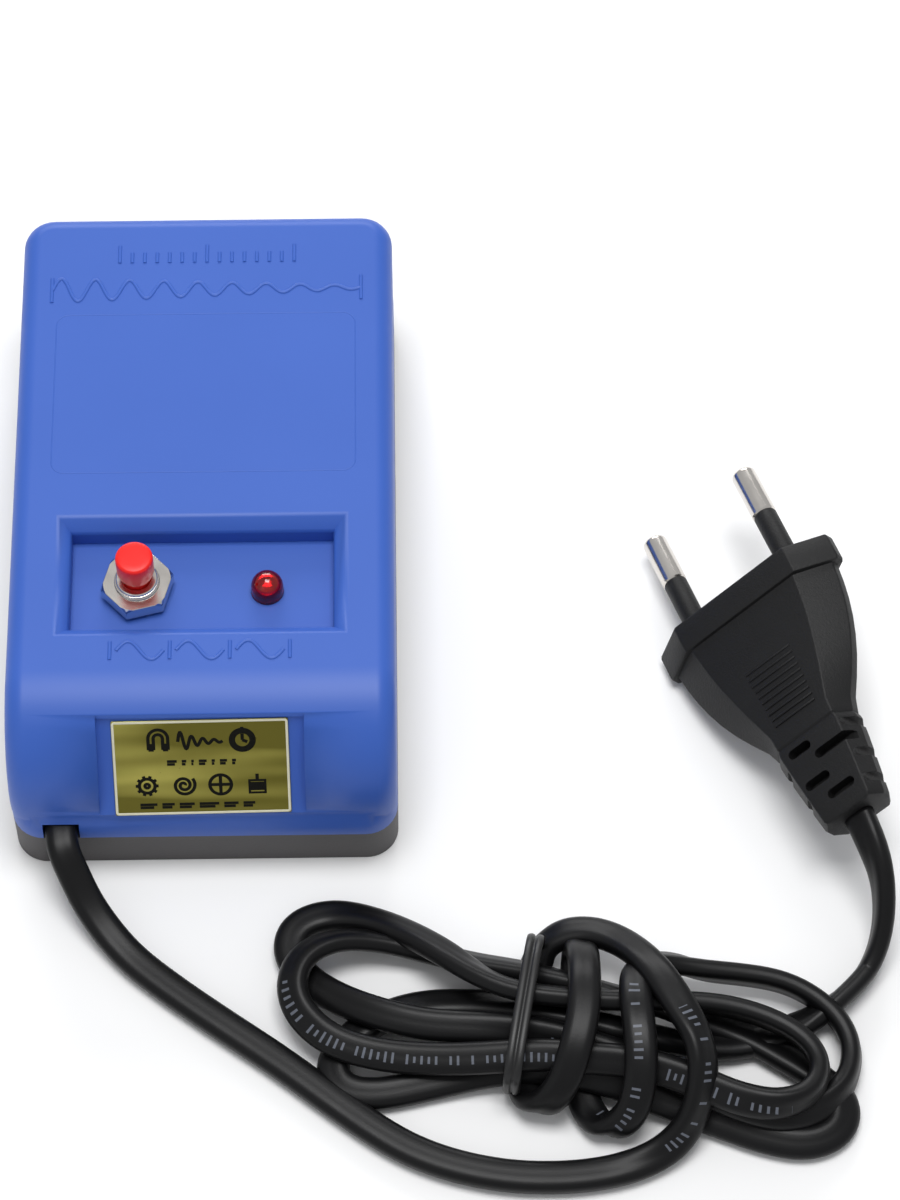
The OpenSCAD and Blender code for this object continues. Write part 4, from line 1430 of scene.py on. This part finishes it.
def rib_solid(half, thick, height):
    """Verts, faces of one rib: a low ridge with sloping ends, along x."""
    low = [(-half, -thick), (half, -thick), (half, thick), (-half, thick)]
    top = [(-half + thick, -thick * 0.35), (half - thick, -thick * 0.35), (half - thick, thick * 0.35),
           (-half + thick, thick * 0.35)]
    verts = [(x, y, 0) for x, y in low] + [(x, y, height) for x, y in top]
    return verts, [(3, 2, 1, 0), (4, 5, 6, 7)] + band(0, 4, 4)


PIN_OFFSET = 9.3 * MM                        # from the plug's middle to each pin
PIN_RADIUS = 2.0 * MM
PIN_REACH = 19.0 * MM
SLEEVE_REACH = 10 * MM


def pin_place(side):
    """Matrix that lays a piece turned about z along one of the pins."""
    return Matrix.Translation((side * PIN_OFFSET, 0, 0)) @ Matrix.Rotation(math.radians(-90), 4, "X")


class DEMAG_OT_pins(bpy.types.Operator):
    """Turn the plug's two pins and their sleeves"""

    bl_idname = "demag.pins"
    bl_label = "Pins"

    def execute(self, context):
        root, core, nose = -7.6 * MM, 1.5 * MM, 0.85 * MM
        shoulder = PIN_REACH - 0.9 * MM
        pin = [(0, root), (core, root), (core, SLEEVE_REACH),
               (PIN_RADIUS - 0.22 * MM, SLEEVE_REACH + 0.02 * MM), (PIN_RADIUS, SLEEVE_REACH + 0.25 * MM),
               (PIN_RADIUS, shoulder)]
        pin += arc((PIN_RADIUS - nose, shoulder), nose, 12, 90, 6) + [(0, PIN_REACH)]
        sleeve = in_mm([(1.5, 0.3), (1.9, 0.3), (1.9, 9.75), (1.8, 9.95), (1.5, 9.95)])
        self.turn_pair("pin", pin, False, "plug_pins", nickel_material(), "nickel")
        self.turn_pair("sleeve", sleeve, True, "pin_sleeves", plug_material(), "black_plastic")
        return {"FINISHED"}

    @staticmethod
    def turn_pair(name, profile, closed, node, material, slot):
        for side, end in ((-1, "left"), (1, "right")):
            piece = spin_profile(f"{name}_{end}", profile, 56, Vector(), closed=closed)
            sharpen(piece, 36)
            piece.data.transform(PLUG_PLACE @ pin_place(side))
            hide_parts(node)
            finish_piece(piece, material)


class DEMAG_OT_declare_lead(bpy.types.Operator):
    """Work out the lead's path and the turn of its section, and keep nothing of them"""

    bl_idname = "demag.declare_lead"
    bl_label = "Declare the lead"

    def execute(self, context):
        lead = context.scene.demag_lead
        path, _ = lead_path(lead)
        return {"FINISHED"}


# ---- inner pieces


def dress(node, material):
    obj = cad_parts[node]
    if not obj.data.materials:
        obj.data.materials.append(material)
    for slot in obj.material_slots:
        slot.material = material


class DEMAG_OT_inner_pieces(bpy.types.Operator):
    """Give every frame piece that stays its own finish"""

    bl_idname = "demag.inner_pieces"
    bl_label = "Inner pieces"

    def execute(self, context):
        zinc = surface_material("Zinc plated steel", (0.55, 0.56, 0.58), shade=0.75, roughness=0.32,
                                spread=0.15, speck=0.3, metallic=1.0)
        brass = surface_material("Brass", (0.78, 0.56, 0.22), roughness=0.3, spread=0.12, metallic=1.0)
        nylon = surface_material("White nylon", (0.72, 0.71, 0.66), shade=0.9, patch=150, roughness=0.45,
                                 spread=0.08, grain=3000, speck=0.15)
        black = surface_material("Black switch moulding", (0.02, 0.02, 0.021), patch=200, grain=3000,
                                 speck=0.3, bump=0.00002)
        red = surface_material("Red core insulation", (0.5, 0.02, 0.015), shade=0.85)
        blue = surface_material("Blue core insulation", (0.02, 0.09, 0.4), shade=0.85)
        tinned = surface_material("Tinned wire", (0.7, 0.7, 0.7), patch=500, roughness=0.3, grain=5000,
                                  metallic=1.0)
        tape = surface_material("Yellow tape", (0.75, 0.56, 0.07), shade=0.85, patch=120, roughness=0.35,
                                spread=0.15, grain=1500, speck=0.15, bump=0.00003)
        spring = surface_material("Spring wire", (0.6, 0.6, 0.6), patch=700, roughness=0.25, grain=5000,
                                  bump=0.000005, metallic=1.0)
        body = banded_material("Resistor body", (0.62, 0.50, 0.34), (0.25, 0.05, 0.02), "Z", 0.0012, 0.4, 0.0)
        sheets = banded_material("Core sheets", (0.30, 0.31, 0.33), (0.10, 0.10, 0.11), "Y", 0.0005,
                                 0.38, 0.9)
        winding = banded_material("Enamelled wire", (0.62, 0.24, 0.09), (0.16, 0.05, 0.02), "Z", 0.00022,
                                  0.25, 0.85)
        finishes = {
            zinc: ("base_screws", "core_bracket", "bracket_screws", "clamp_screw"),
            brass: ("switch_terminals", "switch_contact"),
            nylon: ("coil_bobbin", "splice_caps"),
            black: ("switch_housing", "cord_clamp", "lead_sleeves", "plug_bridge"),
            red: ("coil_wires",), blue: ("core_wires",), tinned: ("led_leads",), tape: ("coil_tape",),
            body: ("led_resistor",), sheets: ("core_laminations",), winding: ("coil_winding",),
            spring: ("switch_spring",), cap_material(): ("button_plunger",),
        }
        for material, nodes in finishes.items():
            for node in nodes:
                dress(node, material)
        return {"FINISHED"}


# ---- stage


def add_softbox(name, place, aim, size, power):
    light = bpy.data.lights.new(name, "AREA")
    light.shape = "RECTANGLE"
    light.size, light.size_y = size
    light.energy = power
    obj = link_object(name, light)
    obj.location = place
    obj.rotation_euler = (Vector(aim) - Vector(place)).to_track_quat("-Z", "Y").to_euler()


class DEMAG_OT_stage(bpy.types.Operator):
    """Set the camera, the pale floor and the soft light"""

    bl_idname = "demag.stage"
    bl_label = "Stage"

    def execute(self, context):
        stage = context.scene.demag_stage
        camera = bpy.data.cameras.new("camera")
        camera.lens = stage.focal
        camera.sensor_width = 36
        camera.clip_start, camera.clip_end = 0.01, 20
        eye = link_object("camera", camera)
        eye.location = (0.03375, -0.33685, 0.5750)
        eye.rotation_euler = (math.radians(30), 0, math.radians(-0.8))
        context.scene.camera = eye
        reach = 3.0
        corners = [(-reach, -reach, 0), (reach, -reach, 0), (reach, reach, 0), (-reach, reach, 0)]
        floor = add_object("floor", corners, [(0, 1, 2, 3)], smooth=False)
        floor.data.materials.append(surface_material(
            "Pale floor", (0.90, 0.90, 0.90), shade=0.985, patch=2, roughness=0.75, spread=0.05, grain=400,
            speck=0.02, bump=0.0))
        add_softbox("key", (0.04, 0.06, 1.05), (0.03, -0.03, 0), (0.55, 0.42), stage.key_power)
        add_softbox("fill", (-0.65, -0.75, 0.6), (0.02, -0.03, 0), (0.6, 0.6), stage.fill_power)
        add_softbox("back", (-0.05, 0.95, 0.5), (0, 0.04, 0.02), (0.7, 0.35), stage.back_power)
        world = bpy.data.worlds.new("room")
        world.use_nodes = True
        background = world.node_tree.nodes["Background"]
        background.inputs["Color"].default_value = (0.97, 0.98, 1.0, 1)
        background.inputs["Strength"].default_value = stage.sky
        context.scene.world = world
        context.scene.view_settings.view_transform = "Standard"
        return {"FINISHED"}


# ---- add-on

STEPS = (
    DEMAG_OT_stage, DEMAG_OT_lead, DEMAG_OT_tie, DEMAG_OT_plug, DEMAG_OT_pins, DEMAG_OT_declare_lead,
    DEMAG_OT_case, DEMAG_OT_relief_marks, DEMAG_OT_label, DEMAG_OT_button, DEMAG_OT_bushing, DEMAG_OT_lamp,
    DEMAG_OT_inner_pieces,
)


class DEMAG_PT_panel(bpy.types.Panel):
    """Lists the settings and the steps that build the demagnetizer"""

    bl_idname = "DEMAG_PT_panel"
    bl_label = "Demagnetizer"
    bl_space_type = "VIEW_3D"
    bl_region_type = "UI"
    bl_category = "Demagnetizer"

    def draw(self, context):
        for step in STEPS:
            self.layout.operator(step.bl_idname)
        for name, _ in SETTINGS:
            box = self.layout.box()
            group = getattr(context.scene, name)
            for key in group.__annotations__:
                box.prop(group, key)


SETTINGS = (
    ("demag_case", DemagCaseSettings), ("demag_controls", DemagControlSettings),
    ("demag_label", DemagLabelSettings), ("demag_lead", DemagLeadSettings),
    ("demag_plug", DemagPlugSettings), ("demag_stage", DemagStageSettings),
)


def register():
    for name, group in SETTINGS:
        bpy.utils.register_class(group)
        setattr(bpy.types.Scene, name, PointerProperty(type=group))
    for step in STEPS:
        bpy.utils.register_class(step)
    bpy.utils.register_class(DEMAG_PT_panel)


def unregister():
    bpy.utils.unregister_class(DEMAG_PT_panel)
    for step in reversed(STEPS):
        bpy.utils.unregister_class(step)
    for name, group in reversed(SETTINGS):
        delattr(bpy.types.Scene, name)
        bpy.utils.unregister_class(group)


def main():
    register()
    for step in STEPS:
        family, name = step.bl_idname.split(".")
        getattr(getattr(bpy.ops, family), name)()


if __name__ == "__main__":
    main()
